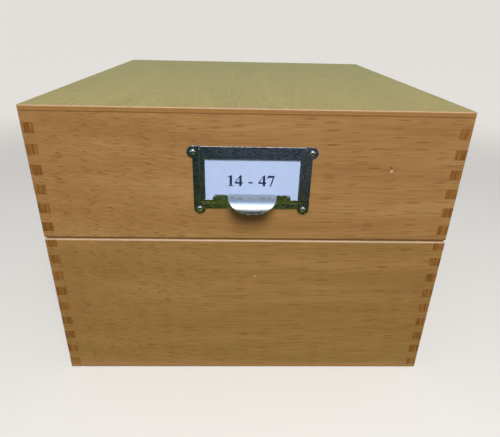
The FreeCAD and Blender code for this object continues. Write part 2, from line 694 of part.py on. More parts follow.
def print_travel():
    """Print the joint places and ranges that follow from the sizes."""
    foot_end = PLATE_REST + PLATE_SHEET / 2 + PLATE_FOOT_LENGTH
    forward = PLATE_REST - INNER_FRONT - PLATE_END_GAP
    backward = INNER_BACK - PLATE_END_GAP - foot_end
    print("lid hinge axis", HINGE_AXIS_Y, HINGE_AXIS_Z, "opens to", LID_OPENING_ANGLE)
    print("support plate travel", -forward, backward)
    print("label card lift", CARD_LIFT)


def main():
    """Write one STEP file per node."""
    os.makedirs("parts", exist_ok=True)
    nodes = {}
    nodes.update(case_nodes())
    nodes.update(lid_nodes())
    nodes.update(hinges())
    nodes.update(follower_nodes())
    for name, shape in nodes.items():
        shape.exportStep("parts/" + name + ".step")
        print(name, "solids", len(shape.Solids), "valid", shape.isValid(), "volume", round(shape.Volume, 2))
    print_travel()


main()
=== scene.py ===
"""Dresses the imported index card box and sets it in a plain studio.

The joinery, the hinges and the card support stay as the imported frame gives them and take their
beech, veneer and metal finishes here.  The stamped label holder with its curled pull, the card, the
printed numbers and the heads of all nails, screws and rivets are built here at the frame's places.

Blender works in metres.  Sizes named here are millimetres, and MM turns them into metres.
"""
import logging
import math
from collections.abc import Mapping, Sequence
from dataclasses import dataclass, field, replace
from enum import Enum
from functools import partial

import bmesh
import bpy
from mathutils import Euler, Matrix, Vector
from mathutils.geometry import delaunay_2d_cdt


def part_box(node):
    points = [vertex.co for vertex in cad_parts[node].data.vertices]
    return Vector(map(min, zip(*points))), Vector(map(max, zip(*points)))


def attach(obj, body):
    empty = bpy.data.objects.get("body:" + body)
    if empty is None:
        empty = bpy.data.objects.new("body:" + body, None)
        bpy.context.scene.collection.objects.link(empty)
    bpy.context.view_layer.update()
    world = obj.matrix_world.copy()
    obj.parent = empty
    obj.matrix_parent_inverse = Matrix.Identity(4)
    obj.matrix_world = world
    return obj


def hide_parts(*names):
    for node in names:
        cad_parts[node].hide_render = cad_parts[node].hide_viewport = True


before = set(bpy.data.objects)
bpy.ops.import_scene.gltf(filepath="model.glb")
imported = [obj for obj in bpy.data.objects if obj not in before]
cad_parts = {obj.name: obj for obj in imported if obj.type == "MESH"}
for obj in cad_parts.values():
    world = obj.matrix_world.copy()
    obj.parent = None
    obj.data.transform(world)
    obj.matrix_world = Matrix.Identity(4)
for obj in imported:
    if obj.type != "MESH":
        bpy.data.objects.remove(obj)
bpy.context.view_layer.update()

MM = 0.001
PER_METRE = 1000.0
# Outputs of the Texture Coordinate node.
COORDINATE_NORMAL, COORDINATE_OBJECT = 1, 3

Point = tuple[float, float]
Triple = tuple[float, float, float]
Loop = list[Point]
Faces = list[tuple[int, ...]]
Piece = bpy.types.Object
Material = bpy.types.Material
Tree = bpy.types.NodeTree
Socket = bpy.types.NodeSocket
Sockets = dict[str, object]

log = logging.getLogger("card_box")


# --- Node helper and colours ---------------------------------------------------------------------
def linear(hex_colour: str, strength: float = 1.0) -> tuple[float, float, float, float]:
    """Turns an sRGB colour into the linear one that shaders take.

    Args:
        hex_colour: Six hex digits with a leading #.
        strength: What the colour is multiplied by, for a light.

    Returns:
        Linear red, green and blue with an alpha of one.
    """
    def channel(start: int) -> float:
        """Linear value of the channel that starts at one digit."""
        value = int(hex_colour[start:start + 2], 16) / 255
        return strength * (value / 12.92 if value <= 0.04045 else ((value + 0.055) / 1.055) ** 2.4)

    return channel(1), channel(3), channel(5), 1.0


def fill(tree: Tree, node: bpy.types.Node, inputs: Sequence | Mapping) -> None:
    """Fills or links the inputs of a node.

    Args:
        tree: Tree that holds the node.
        node: The node.
        inputs: Values or sockets, by name or in the order of the open inputs.
    """
    open_inputs = [socket for socket in node.inputs if socket.enabled]
    for key, value in inputs.items() if isinstance(inputs, Mapping) else enumerate(inputs):
        socket = node.inputs[key] if isinstance(key, str) else open_inputs[key]
        if isinstance(value, Socket):
            tree.links.new(value, socket)
        else:
            socket.default_value = value


def add_node(tree: Tree, kind: str, inputs: Sequence | Mapping = (), operation: str = "", output: int = 0,
             **settings: object) -> Socket | None:
    """Adds a node with its settings, and fills or links its inputs.

    Args:
        tree: Tree that gets the node.
        kind: Blender's identifier of the node type, which may leave its ShaderNode out.
        inputs: Values or sockets, by name or in the order of the open inputs.
        operation: What the node does, for a node that has several operations.
        output: Which of the open outputs to return.
        **settings: Properties of the node, set before its inputs.

    Returns:
        The chosen output socket, or None for a node without outputs.
    """
    node = tree.nodes.new(kind if "Node" in kind else f"ShaderNode{kind}")
    if operation:
        node.operation = operation
    for name, value in settings.items():
        setattr(node, name, value)
    fill(tree, node, inputs)
    open_outputs = [socket for socket in node.outputs if socket.enabled]
    return open_outputs[output] if open_outputs else None


# --- Finishes ------------------------------------------------------------------------------------
@dataclass(frozen=True)
class Finish:
    """A surface finish that can be made into a material, to whose tree it then adds its nodes."""

    name: str
    tree: Tree | None = field(default=None, kw_only=True)

    def material(self) -> Material:
        """Makes the material.

        Returns:
            A node material with this finish's name.
        """
        made = bpy.data.materials.new(self.name)
        made.use_nodes = True
        sockets = replace(self, tree=made.node_tree).sockets()
        fill(made.node_tree, made.node_tree.nodes["Principled BSDF"], sockets)
        return made

    def sockets(self) -> Sockets:
        """What the Principled shader's inputs take, by name; each finish has its own."""
        raise NotImplementedError

    def add(self, kind: str, inputs: Sequence | Mapping = (), operation: str = "", output: int = 0,
            **settings: object) -> Socket:
        """Adds a node to the material's tree, as add_node does."""
        return add_node(self.tree, kind, inputs, operation, output, **settings)

    def place(self) -> Socket:
        """Object coordinates in millimetres."""
        place = self.add("TexCoord", output=COORDINATE_OBJECT)
        return self.add("VectorMath", (place, (PER_METRE,) * 3), "MULTIPLY")

    def noise(self, vector: Socket, size: Triple, detail: float, spread: tuple[float, ...] = (),
              roughness: float = 0.5) -> Socket:
        """Cloudy pattern around one half.

        Args:
            vector: Millimetres.
            size: Size of a patch on each axis.
            detail: Finer layers in the pattern.
            spread: Lowest and highest value taken, and what they become; empty leaves the pattern alone.
            roughness: Strength of the finer layers.

        Returns:
            The pattern's value.
        """
        patches = self.add("VectorMath", (vector, tuple(1 / side for side in size)), "MULTIPLY")
        value = self.add("TexNoise", {
            "Vector": patches, "Scale": 1.0, "Detail": detail, "Roughness": roughness})
        return self.add("MapRange", (value, *spread)) if spread else value

    def toned(self, colour: Socket | tuple, tone: Socket) -> Socket:
        """Colour made lighter or darker by a tone around one."""
        grey = self.add("CombineColor", (tone, tone, tone))
        return self.add("Mix", (1.0, colour, grey), data_type="RGBA", blend_type="MULTIPLY")


class Grain(Enum):
    """Direction of the fibres, as the turn about the vertical that brings it onto the pattern's X."""

    ALONG_X = 0.0
    ALONG_Y = -math.pi / 2


@dataclass(frozen=True)
class Speck:
    """A small blemish in the lacquer: a chip that shows pale or dark."""

    place: Triple
    radius: float
    colour: str


@dataclass(frozen=True)
class LacqueredBeech(Finish):
    """Beech, sawn with the grain, planed and sprayed with satin lacquer.

    The eye gets short red-brown ray flecks in a warm tan ground with faint broad bands, and darker
    streaked end grain with thin glue lines where the fingers come through.
    """

    grain: Grain = Grain.ALONG_X
    tilt: float = 0.0
    bend: float = 0.0
    offset: Triple = (0.0, 0.0, 0.0)
    light: str = "#a67e4d"
    dark: str = "#976e3f"
    fleck: str = "#6e3f10"
    fleck_cells: tuple[Point, ...] = ((16.0, 0.6), (12.0, 0.7))
    end_light: str = "#956630"
    end_dark: str = "#70471a"
    end_limit: float = 0.8
    # Painted highlight along the rounded upper rims: its colour and share, and the tone of the painted shade
    # just inside it.
    rim: str = "#b9a28e"
    rim_share: float = 0.75
    rim_shade: float = 0.86
    specks: tuple[Speck, ...] = ()
    inner_across: float = 118.4
    finger_height: float = 5.6
    finger_tops: Point = (97.6, 169.3)
    split: float = 97.65
    roughness: float = 0.42
    roughness_spread: float = 0.05
    coat: float = 0.4
    # Weight and tint of a sheen that stands in for a reflection of green surroundings: a painted reflection,
    # none on the frame.
    sheen_reflection: float = 0.0
    sheen_reflection_colour: str = "#ffffff"
    sway: float = 3.5
    sway_size: Triple = (160.0, 60.0, 60.0)
    band_size: Triple = (150.0, 11.0, 11.0)
    fibre_size: Triple = (22.0, 0.8, 0.8)
    pore_size: Triple = (9.0, 0.5, 0.5)
    gloss_size: Triple = (14.0, 0.9, 0.9)
    ring_size: Triple = (40.0, 1.3, 14.0)
    end_roughening: float = 0.15
    relief: float = 0.06
    # Rises of the normal, with their spread, where the painted highlight and the painted shade lie.
    highlight_slope: Point = (0.48, 0.22)
    shade_slope: Point = (0.84, 0.14)

    def sockets(self) -> Sockets:
        """Builds the beech figure, the end grain and the glue lines.

        Returns:
            What the shader's inputs take, by name.
        """
        board = self.add("Mapping", {
            "Vector": self.add("TexCoord", output=COORDINATE_OBJECT),
            "Rotation": (0.0, 0.0, self.grain.value), "Scale": (PER_METRE,) * 3})
        figure = self.add("Mapping", {"Vector": board, "Rotation": self.slope(), "Location": self.offset})
        sway = self.noise(figure, self.sway_size, detail=1.0, spread=(0.0, 1.0, -self.sway, self.sway))
        sway = self.add("Math", (sway, self.bow(board)), "ADD")
        sway = self.add("CombineXYZ", (0.0, sway, sway))
        figure = self.add("VectorMath", (figure, sway), "ADD")

        colour, flecks = self.long_grain(figure)
        ends = self.end_faces()
        colour = self.add("Mix", (ends, colour, self.end_grain(board)), data_type="RGBA")
        # Painted highlight on the rounded upper rims, and painted shade in the band next to them.
        rubbed_and_highlit, rim_shading = self.rim_faces()
        colour = self.add("Mix", (rubbed_and_highlit, colour, linear(self.rim)), data_type="RGBA")
        colour = self.toned(colour, rim_shading)
        for speck in self.specks:
            distance = self.add("VectorMath", (self.place(), speck.place), "DISTANCE")
            chip = self.add("MapRange", (distance, speck.radius * 0.6, speck.radius, 0.85, 0.0))
            colour = self.add("Mix", (chip, colour, linear(speck.colour)), data_type="RGBA")

        low, high = self.roughness - self.roughness_spread, self.roughness + self.roughness_spread
        rough = self.noise(figure, self.gloss_size, detail=2.0, spread=(0.0, 1.0, low, high))
        rough = self.add("Math", (ends, self.end_roughening, rough), "MULTIPLY_ADD")
        pores = self.noise(figure, self.pore_size, detail=1.0)
        relief = self.add("Math", (flecks, -0.6, pores), "MULTIPLY_ADD")
        bump = self.add("Bump", {"Strength": 0.25, "Distance": self.relief * MM, "Height": relief})
        # The sheen, where a finish has one, is a painted reflection.
        return {"Base Color": colour, "Roughness": rough, "Normal": bump, "Specular IOR Level": 0.35,
                "Coat Weight": self.coat, "Coat Roughness": 0.2, "Sheen Weight": self.sheen_reflection,
                "Sheen Roughness": 0.3, "Sheen Tint": linear(self.sheen_reflection_colour)}

    def slope(self) -> Triple:
        """Turn of the figure in the board's face."""
        return 0.0, self.tilt, 0.0

    def facing(self, axis: int) -> Socket:
        """One coordinate of the object-space normal."""
        return self.add("SeparateXYZ", (self.add("TexCoord", output=COORDINATE_NORMAL),), output=axis)

    def bow(self, board: Socket) -> Socket:
        """Shift that bends the figure's lines over the board's first half.

        Args:
            board: Millimetres, X along the grain.

        Returns:
            The shift across the grain, in millimetres.
        """
        along = self.add("Math", (self.add("SeparateXYZ", (board,)), 0.0), "MINIMUM")
        bent = self.add("Math", (along, -self.bend / 2), "MULTIPLY")
        return self.add("Math", (along, bent), "MULTIPLY")

    def long_grain(self, figure: Socket) -> tuple[Socket, Socket]:
        """Bands, fibres and ray flecks.

        Args:
            figure: Millimetres, X along the grain.

        Returns:
            The colour, and the mask of the flecks.
        """
        bands = self.noise(figure, self.band_size, detail=3.0, spread=(0.3, 0.7))
        colour = self.add("Mix", (bands, linear(self.light), linear(self.dark)), data_type="RGBA")
        fibres = self.noise(figure, self.fibre_size, detail=2.0, spread=(0.35, 0.65, 0.88, 1.08))
        colour = self.toned(colour, fibres)
        # Ray flecks are 0.2 mm thick; 0.5 mm lets them show at this picture's scale. They come in two
        # layers, so that they don't line up.
        layers = []
        for length, spacing in self.fleck_cells:
            scale = (1 / length, 1 / spacing, 1 / spacing)
            cells = self.add("VectorMath", (figure, scale), "MULTIPLY")
            distance = self.add("TexVoronoi", {"Vector": cells, "Scale": 1.0})
            chance = self.add("SeparateXYZ", (distance.node.outputs["Color"],))
            depth = self.add("MapRange", (chance, 0.65, 1.0, 0.0, 0.8))
            body = self.add("MapRange", (distance, 0.2, 0.42, 1.0, 0.0), interpolation_type="SMOOTHSTEP")
            layers.append(self.add("Math", (depth, body), "MULTIPLY"))
        flecks = self.add("Math", layers, "MAXIMUM")
        return self.add("Mix", (flecks, colour, linear(self.fleck)), data_type="RGBA"), flecks

    def rim_faces(self) -> tuple[Socket, Socket]:
        """Masks of the rounded upper rims: a painted highlight along their outer part, and painted shade
        further in.

        Returns:
            The share of the painted highlight, and the tone of the painted shade, one where there is none.
        """
        up = self.facing(2)
        rubbed_and_highlit = self.add("Math", (up, *self.highlight_slope), "COMPARE")
        rubbed_and_highlit = self.add("Math", (rubbed_and_highlit, self.rim_share), "MULTIPLY")
        shaded_band = self.add("Math", (up, *self.shade_slope), "COMPARE")
        return rubbed_and_highlit, self.add("MapRange", (shaded_band, 0.0, 1.0, 1.0, self.rim_shade))

    def end_faces(self) -> Socket:
        """Mask of the faces that lie across the grain.

        Returns:
            One on end grain, zero elsewhere.
        """
        along = self.facing(0 if self.grain is Grain.ALONG_X else 1)
        along = self.add("Math", (along,), "ABSOLUTE")
        return self.add("Math", (along, self.end_limit), "GREATER_THAN")

    def end_grain(self, board: Socket) -> Socket:
        """Growth rings seen end on, with the glue lines round each finger.

        Args:
            board: Millimetres, X along the grain.

        Returns:
            The end grain's colour.
        """
        rings = self.noise(board, self.ring_size, detail=2.0, spread=(0.38, 0.62), roughness=0.6)
        colour = self.add("Mix", (rings, linear(self.end_light), linear(self.end_dark)), data_type="RGBA")
        across = self.add("SeparateXYZ", (board,), output=1)
        level = across.node.outputs["Z"]
        in_lid = self.add("Math", (level, self.split), "GREATER_THAN")
        case_top, lid_top = self.finger_tops
        top = self.add("Math", (in_lid, lid_top - case_top, case_top), "MULTIPLY_ADD")
        below = self.add("Math", (top, level), "SUBTRACT")
        to_joint = self.add("Math", (below, self.finger_height), "PINGPONG")
        to_level = self.add("Math", (self.finger_height, to_joint), "SUBTRACT")
        nearest = self.add("Math", (to_joint, to_level), "MINIMUM")
        away = self.add("Math", (across,), "ABSOLUTE")
        away = self.add("Math", (away, self.inner_across), "SUBTRACT")
        nearest = self.add("Math", (nearest, away), "MINIMUM")
        # Glue lines are 0.1 mm thick; a 0.4 mm shade lets them show at this picture's scale.
        return self.toned(colour, self.add("MapRange", (nearest, 0.1, 0.45, 0.85, 1.0)))


@dataclass(frozen=True)
class BeechVeneer(LacqueredBeech):
    """Sliced beech veneer on thin ply, lacquered like the frame.

    The eye gets the same flecks running front to back, and on the edges the plies as a warm band. At a low
    angle a green sheen, a painted reflection of green surroundings, turns the face olive.
    """

    edge: str = "#a07646"
    edge_core: str = "#976d3c"
    edge_shade: str = "#6b4722"
    # Painted highlight along the panel's rounded top rim, with no painted shade beside it.
    rim: str = "#b7a090"
    rim_share: float = 0.65
    rim_shade: float = 1.0
    coat: float = 0.12
    # Painted reflection: a green sheen turns the top olive at a low angle, as green surroundings would.
    sheen_reflection: float = 0.5
    sheen_reflection_colour: str = "#95ff00"
    bottom: float = 169.3
    thickness: float = 3.2
    ply_size: Triple = (3.0, 1.2, 1.2)

    def slope(self) -> Triple:
        """Turn of the figure in the panel's face."""
        return 0.0, 0.0, self.tilt

    def end_faces(self) -> Socket:
        """Mask of the panel's four edges."""
        up = self.add("Math", (self.facing(2),), "ABSOLUTE")
        return self.add("Math", (up, 0.5), "LESS_THAN")

    def end_grain(self, board: Socket) -> Socket:
        """Plies on the edge, over a dark line where the panel meets the frame.

        Args:
            board: Millimetres, X along the grain.

        Returns:
            The edge's colour.
        """
        level = self.add("SeparateXYZ", (board,), output=2)
        rise = self.add("Math", (level, self.bottom), "SUBTRACT")
        share = self.add("Math", (rise, self.thickness), "DIVIDE")
        core = self.add("Math", (share, 0.5, 0.2), "COMPARE")
        colour = self.add("Mix", (core, linear(self.edge), linear(self.edge_core)), data_type="RGBA")
        shade = self.add("MapRange", (rise, 0.35, 0.9, 0.85, 0.0))
        colour = self.add("Mix", (shade, colour, linear(self.edge_shade)), data_type="RGBA")
        plies = self.noise(board, self.ply_size, detail=2.0, spread=(0.3, 0.7, 0.9, 1.08))
        return self.toned(colour, plies)


@dataclass(frozen=True)
class PlatedMetal(Finish):
    """Steel under a thin plating.

    The eye gets a reflection softened by fine handling marks and slightly bent by the uneven sheet.
    """

    colour: str = "#c9c6bf"
    roughness: float = 0.16
    roughness_spread: float = 0.06
    mark_size: float = 2.5
    mark_shade: float = 0.1
    mark_edge: float = 0.25
    wave_size: float = 14.0
    wave_height: float = 0.02
    metallic: float = 1.0
    mark_stretch: Triple = (1.0, 1.0, 1.0)

    def sockets(self) -> Sockets:
        """Builds the plating with its marks and waves.

        Returns:
            What the shader's inputs take, by name.
        """
        place = self.place()
        marks = self.noise(place, tuple(self.mark_size * side for side in self.mark_stretch), detail=5.0)
        low, high = self.roughness - self.roughness_spread, self.roughness + self.roughness_spread
        rough = self.worn(self.add("MapRange", (marks, 0.3, 0.7, low, high)))
        waves = self.noise(place, (self.wave_size,) * 3, detail=2.0)
        bump = self.add("Bump", {"Strength": 1.0, "Distance": self.wave_height * MM, "Height": waves})
        shade = self.rubbed_and_highlit(self.add("MapRange", (
            marks, 0.5 - self.mark_edge, 0.5 + self.mark_edge, 1.0 - self.mark_shade, 1.0)))
        return {"Base Color": self.toned(linear(self.colour), shade), "Roughness": rough,
                "Normal": bump, "Metallic": self.metallic}

    def worn(self, rough: Socket) -> Socket:
        """Roughness after use; plain plating keeps its own."""
        return rough

    def rubbed_and_highlit(self, shade: Socket) -> Socket:
        """Shade of the marks after use; plain plating keeps its own."""
        return shade


@dataclass(frozen=True)
class HandledPlating(PlatedMetal):
    """Bright plating that fingers have dulled and wiped clean where it stands out from the wood.

    The eye gets a crisp mottled frame, and a clean pull whose reflections blur into a soft silver band.
    """

    dull_roughness: float = 0.3
    bright_until: float = -126.5
    dull_from: float = -127.3

    def worn(self, rough: Socket) -> Socket:
        """Roughness that grows towards the pull."""
        duller = self.dull_roughness - self.roughness
        return self.add("Math", (self.handled(), duller, rough), "MULTIPLY_ADD")

    def rubbed_and_highlit(self, shade: Socket) -> Socket:
        """Shade whose marks fade on the pull."""
        return self.add("Mix", (self.handled(), shade, 1.0))

    def handled(self) -> Socket:
        """Mask of what fingers reach: zero by the wood, one from where the pull stands out."""
        depth = self.add("SeparateXYZ", (self.place(),), output=1)
        return self.add("MapRange", (depth, self.bright_until, self.dull_from))


@dataclass(frozen=True)
class MattFinish(Finish):
    """A surface that is no metal: two mottled colours over a fine relief."""

    colour: str = "#ffffff"
    mottle: str = "#ffffff"
    mottle_size: float = 1.0
    mottle_detail: float = 2.0
    relief_size: float = 1.0
    relief_height: float = 0.02
    relief_strength: float = 0.0
    roughness: Point = (0.5, 0.5)

    def sockets(self) -> Sockets:
        """Builds the mottle and the relief.

        Returns:
            What the shader's inputs take, by name.
        """
        place = self.place()
        cloud = self.noise(place, (self.mottle_size,) * 3, self.mottle_detail)
        colour = self.add("Mix", (cloud, linear(self.colour), linear(self.mottle)), data_type="RGBA")
        relief = self.noise(place, (self.relief_size,) * 3, detail=2.0)
        bump = self.add("Bump", {
            "Strength": self.relief_strength, "Distance": self.relief_height * MM, "Height": relief})
        rough = self.add("MapRange", (relief, 0.0, 1.0, *self.roughness))
        return {"Base Color": colour, "Roughness": rough, "Normal": bump}


@dataclass(frozen=True)
class MouldedPolyamide(MattFinish):
    """Black polyamide, injection moulded: an even, slightly grained half gloss."""

    colour: str = "#1b1b1c"
    mottle: str = "#1b1b1c"
    relief_size: float = 0.6
    relief_height: float = 0.03
    relief_strength: float = 0.3
    roughness: Point = (0.4, 0.6)


@dataclass(frozen=True)
class IndexBoard(MattFinish):
    """Smooth white index board, calendered: matt and faintly mottled by its fibres."""

    colour: str = "#b7caec"
    mottle: str = "#acbfe3"
    mottle_size: float = 5.0
    mottle_detail: float = 4.0
    relief_size: float = 0.4
    relief_strength: float = 0.2
    roughness: Point = (0.75, 0.75)


@dataclass(frozen=True)
class PrintersInk(MattFinish):
    """Laser-printed toner: a dark, slightly broken matt layer."""

    colour: str = "#141a36"
    mottle: str = "#262d4c"
    mottle_size: float = 0.7
    roughness: Point = (0.6, 0.6)


@dataclass(frozen=True)
class StudioPaper(Finish):
    """Seamless background paper: matt, even and pale, and throwing little light up at the box."""

    colour: str = "#dedcd8"
    thrown: str = "#6c685f"
    distant: str = "#e2ded9"
    distant_start: float = 330.0
    distant_end: float = 900.0

    def sockets(self) -> Sockets:
        """Builds the paper, lit near the box and evenly pale further off.

        Returns:
            What the shader's inputs take, by name.
        """
        rays = self.add("LightPath").node.outputs
        seen = self.add("Math", (rays["Is Camera Ray"], rays["Is Glossy Ray"]), "ADD")
        seen = self.add("Math", (seen, rays["Is Transmission Ray"]), "ADD")
        seen = self.add("Math", (seen, 1.0), "MINIMUM")
        away = self.add("VectorMath", (self.place(),), "LENGTH")
        away = self.add("MapRange", (away, self.distant_start, self.distant_end),
                        interpolation_type="SMOOTHSTEP")
        glow = self.add("Math", (away, seen), "MULTIPLY")
        black = linear("#000000")
        colour = self.add("Mix", (seen, linear(self.thrown), linear(self.colour)), data_type="RGBA")
        colour = self.add("Mix", (glow, colour, black), data_type="RGBA")
        pale = self.add("Mix", (glow, black, linear(self.distant)), data_type="RGBA")
        return {"Base Color": colour, "Emission Color": pale, "Emission Strength": 1.0,
                "Roughness": 0.95, "Specular IOR Level": 0.1}


@dataclass(frozen=True)
class ShadedReflectionCloth(Finish):
    """Dark cloth, a painted shade for the surroundings in front of the box, in four tones: the lit olive
    patch close to the box is painted light, the dark olive band round it painted shade, and teal and
    blue-grey lie further off. Bright metal shows it as a deep, cool or olive grey.
    """

    left: str = "#1c3a3a"
    right: str = "#3f485a"
    # Painted shade: the dark olive band in front of the box.
    near: str = "#30361a"
    # Painted light: the lit olive patch close to the box.
    close: str = "#6d8636"
    near_end: float = -400.0
    far_start: float = -475.0
    left_end: float = -80.0
    right_start: float = -30.0
    close_place: Triple = (0.0, -128.0, 0.0)
    close_radius: float = 215.0
    close_fade: float = 30.0
    close_narrowing: float = 1.9

    def sockets(self) -> Sockets:
        """Blends the shades across the cloth.

        Returns:
            What the shader's inputs take, by name.
        """
        spot = self.place()
        place = self.add("SeparateXYZ", (spot,))
        across = self.add("MapRange", (place, self.left_end, self.right_start))
        colour = self.add("Mix", (across, linear(self.left), linear(self.right)), data_type="RGBA")
        away = self.add("MapRange", (place.node.outputs["Y"], self.near_end, self.far_start))
        colour = self.add("Mix", (away, linear(self.near), colour), data_type="RGBA")
        narrowed = self.add("VectorMath", (spot, (self.close_narrowing, 1.0, 1.0)), "MULTIPLY")
        distance = self.add("VectorMath", (narrowed, self.close_place), "DISTANCE")
        outside = self.add("MapRange", (distance, self.close_radius, self.close_radius + self.close_fade))
        colour = self.add("Mix", (outside, linear(self.close), colour), data_type="RGBA")
        return {"Base Color": colour, "Roughness": 0.95, "Specular IOR Level": 0.1}


@dataclass(frozen=True)
class LitFilm(Finish):
    """Diffusion film lit from behind: bright metal shows it as a white band with a blue upper fade."""

    colours: tuple[str, str, str] = ("#c9d2e0", "#f2f7ff", "#a4c4f2")
    strengths: Triple = (1.2, 3.6, 1.8)
    levels: Triple = (18.0, 38.0, 78.0)
    eye_level: Triple = (0.0, -130.0, 120.0)

    def sockets(self) -> Sockets:
        """Builds the glow, which changes with the angle up from the pull.

        Returns:
            What the shader's inputs take, by name.
        """
        away = self.add("VectorMath", (self.place(), self.eye_level), "SUBTRACT")
        away = self.add("SeparateXYZ", (away,), output=1)
        forward = self.add("Math", (away, -1.0), "MULTIPLY")
        level = self.add("Math", (away.node.outputs["Z"], forward), "ARCTAN2")
        low, middle, high = (math.radians(angle) for angle in self.levels)
        rising = self.add("MapRange", (level, low, middle), interpolation_type="SMOOTHSTEP")
        fading = self.add("MapRange", (level, middle, high))
        low, middle, high = (linear(*pair) for pair in zip(self.colours, self.strengths))
        glow = self.add("Mix", (rising, low, middle), data_type="RGBA")
        glow = self.add("Mix", (fading, glow, high), data_type="RGBA")
        return {"Emission Color": glow, "Emission Strength": 1.0, "Base Color": linear("#000000"),
                "Specular IOR Level": 0.0}


# --- Mesh helpers --------------------------------------------------------------------------------
def new_piece(name: str, points: Sequence[Vector], faces: Sequence[Sequence[int]]) -> Piece:
    """Makes a mesh object at the origin.

    Args:
        name: Name of the piece.
        points: Vertices in metres.
        faces: Vertex indices of each face.

    Returns:
        The new object, in the scene.
    """
    mesh = bpy.data.meshes.new(name)
    mesh.from_pydata(points, [], faces)
    mesh.shade_smooth()
    piece = bpy.data.objects.new(name, mesh)
    bpy.context.scene.collection.objects.link(piece)
    return piece


def modify(piece: Piece, kind: str, **settings: object) -> bpy.types.Modifier:
    """Adds a modifier.

    Args:
        piece: The object that gets it.
        kind: Blender's identifier of the modifier type.
        **settings: Properties of the modifier.

    Returns:
        The modifier.
    """
    modifier = piece.modifiers.new(kind, kind)
    for name, value in settings.items():
        setattr(modifier, name, value)
    return modifier


def settle(piece: Piece, smooth_below: float | None = None) -> None:
    """Turns a piece with live modifiers into a plain mesh.

    Args:
        piece: The object, whose modifiers are used up.
        smooth_below: Edges that turn by fewer degrees than this are shaded smooth; None keeps the
            modifiers' own shading.
    """
    graph = bpy.context.evaluated_depsgraph_get()
    plain = bpy.data.meshes.new_from_object(piece.evaluated_get(graph))
    piece.modifiers.clear()
    piece.data = plain
    if smooth_below is not None:
        plain.shade_smooth()
        plain.set_sharp_from_angle(angle=math.radians(smooth_below))


def finish_piece(piece: Piece, body: str, slot: str, material: Material,
                 replaced: Sequence[str] = ()) -> None:
    """Gives a built piece its material, its body and the nodes that it stands for.

    Args:
        piece: The built object.
        body: Body that it rides on.
        slot: The record's material slot; not used.
        material: Its material.
        replaced: CAD nodes that it stands for.
    """
    piece.data.materials.clear()
    piece.data.materials.append(material)
    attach(piece, body)
    if replaced:
        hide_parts(*replaced)
    log.info("%s: %d faces on %s", piece.name, len(piece.data.polygons), body)


def arc(centre: Point, radius: float, start: float, end: float, chords: int) -> Loop:
    """Points along an arc between two angles in degrees, both ends included."""
    angles = [math.radians(start + (end - start) * index / chords) for index in range(chords + 1)]
    return [(centre[0] + radius * math.cos(angle), centre[1] + radius * math.sin(angle)) for angle in angles]


def mirrored(side: Loop) -> Loop:
    """Line that goes on from one side to its mirror image."""
    return side + [(-x, z) for x, z in reversed(side)]


def grid_faces(rows: int, columns: int) -> Faces:
    """Faces of a sheet whose points are listed row by row, as indices of the points."""
    starts = [row * (columns + 1) + column for row in range(rows) for column in range(columns)]
    return [(start, start + 1, start + columns + 2, start + columns + 1) for start in starts]


def is_inside(point: Point, loop: Loop) -> bool:
    """Tells whether a point lies inside a closed outline.

    Args:
        point: The point.
        loop: The outline's corners in order.

    Returns:
        True inside the outline.
    """
    inside = False
    x, z = point
    for (x0, z0), (x1, z1) in zip(loop, loop[1:] + loop[:1]):
        if (z0 > z) != (z1 > z) and x < x0 + (z - z0) * (x1 - x0) / (z1 - z0):
            inside = not inside
    return inside


def cut_sheet(outline: Loop, holes: Sequence[Loop] = (), creases: Sequence[Loop] = ()) -> tuple[Loop, Faces]:
    """Fills a flat outline with triangles, leaving its holes open.

    Args:
        outline: The outer edge.
        holes: Closed edges of openings.
        creases: Open lines that the triangles follow.

    Returns:
        The corners, and the triangles as indices into them, turned the same way round.
    """
    points: list[Vector] = []
    edges: list[tuple[int, int]] = []
    for loop in (outline, *holes, *creases):
        first = len(points)
        points += [Vector(point) for point in loop]
        edges += [(index, index + 1) for index in range(first, len(points) - 1)]
        if loop not in creases:
            edges.append((len(points) - 1, first))
    corners, _, triangles, *_ = delaunay_2d_cdt(points, edges, [], 0, 1e-5)
    flat = [(corner.x, corner.y) for corner in corners]
    kept = []
    for triangle in triangles:
        middle = (sum(flat[i][0] for i in triangle) / 3, sum(flat[i][1] for i in triangle) / 3)
        if is_inside(middle, outline) and not any(is_inside(middle, hole) for hole in holes):
            kept.append(tuple(triangle))
    return flat, kept


# --- Joinery, hinges and card support: nodes that keep their CAD shape ---------------------------
def dress_node(node: str, material: Material) -> None:
    """Gives a CAD node a material.

    Args:
        node: Name of the CAD node.
        material: Its new material.
    """
    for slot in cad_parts[node].material_slots:
        slot.material = material
    log.info("%s takes %s", node, material.name)


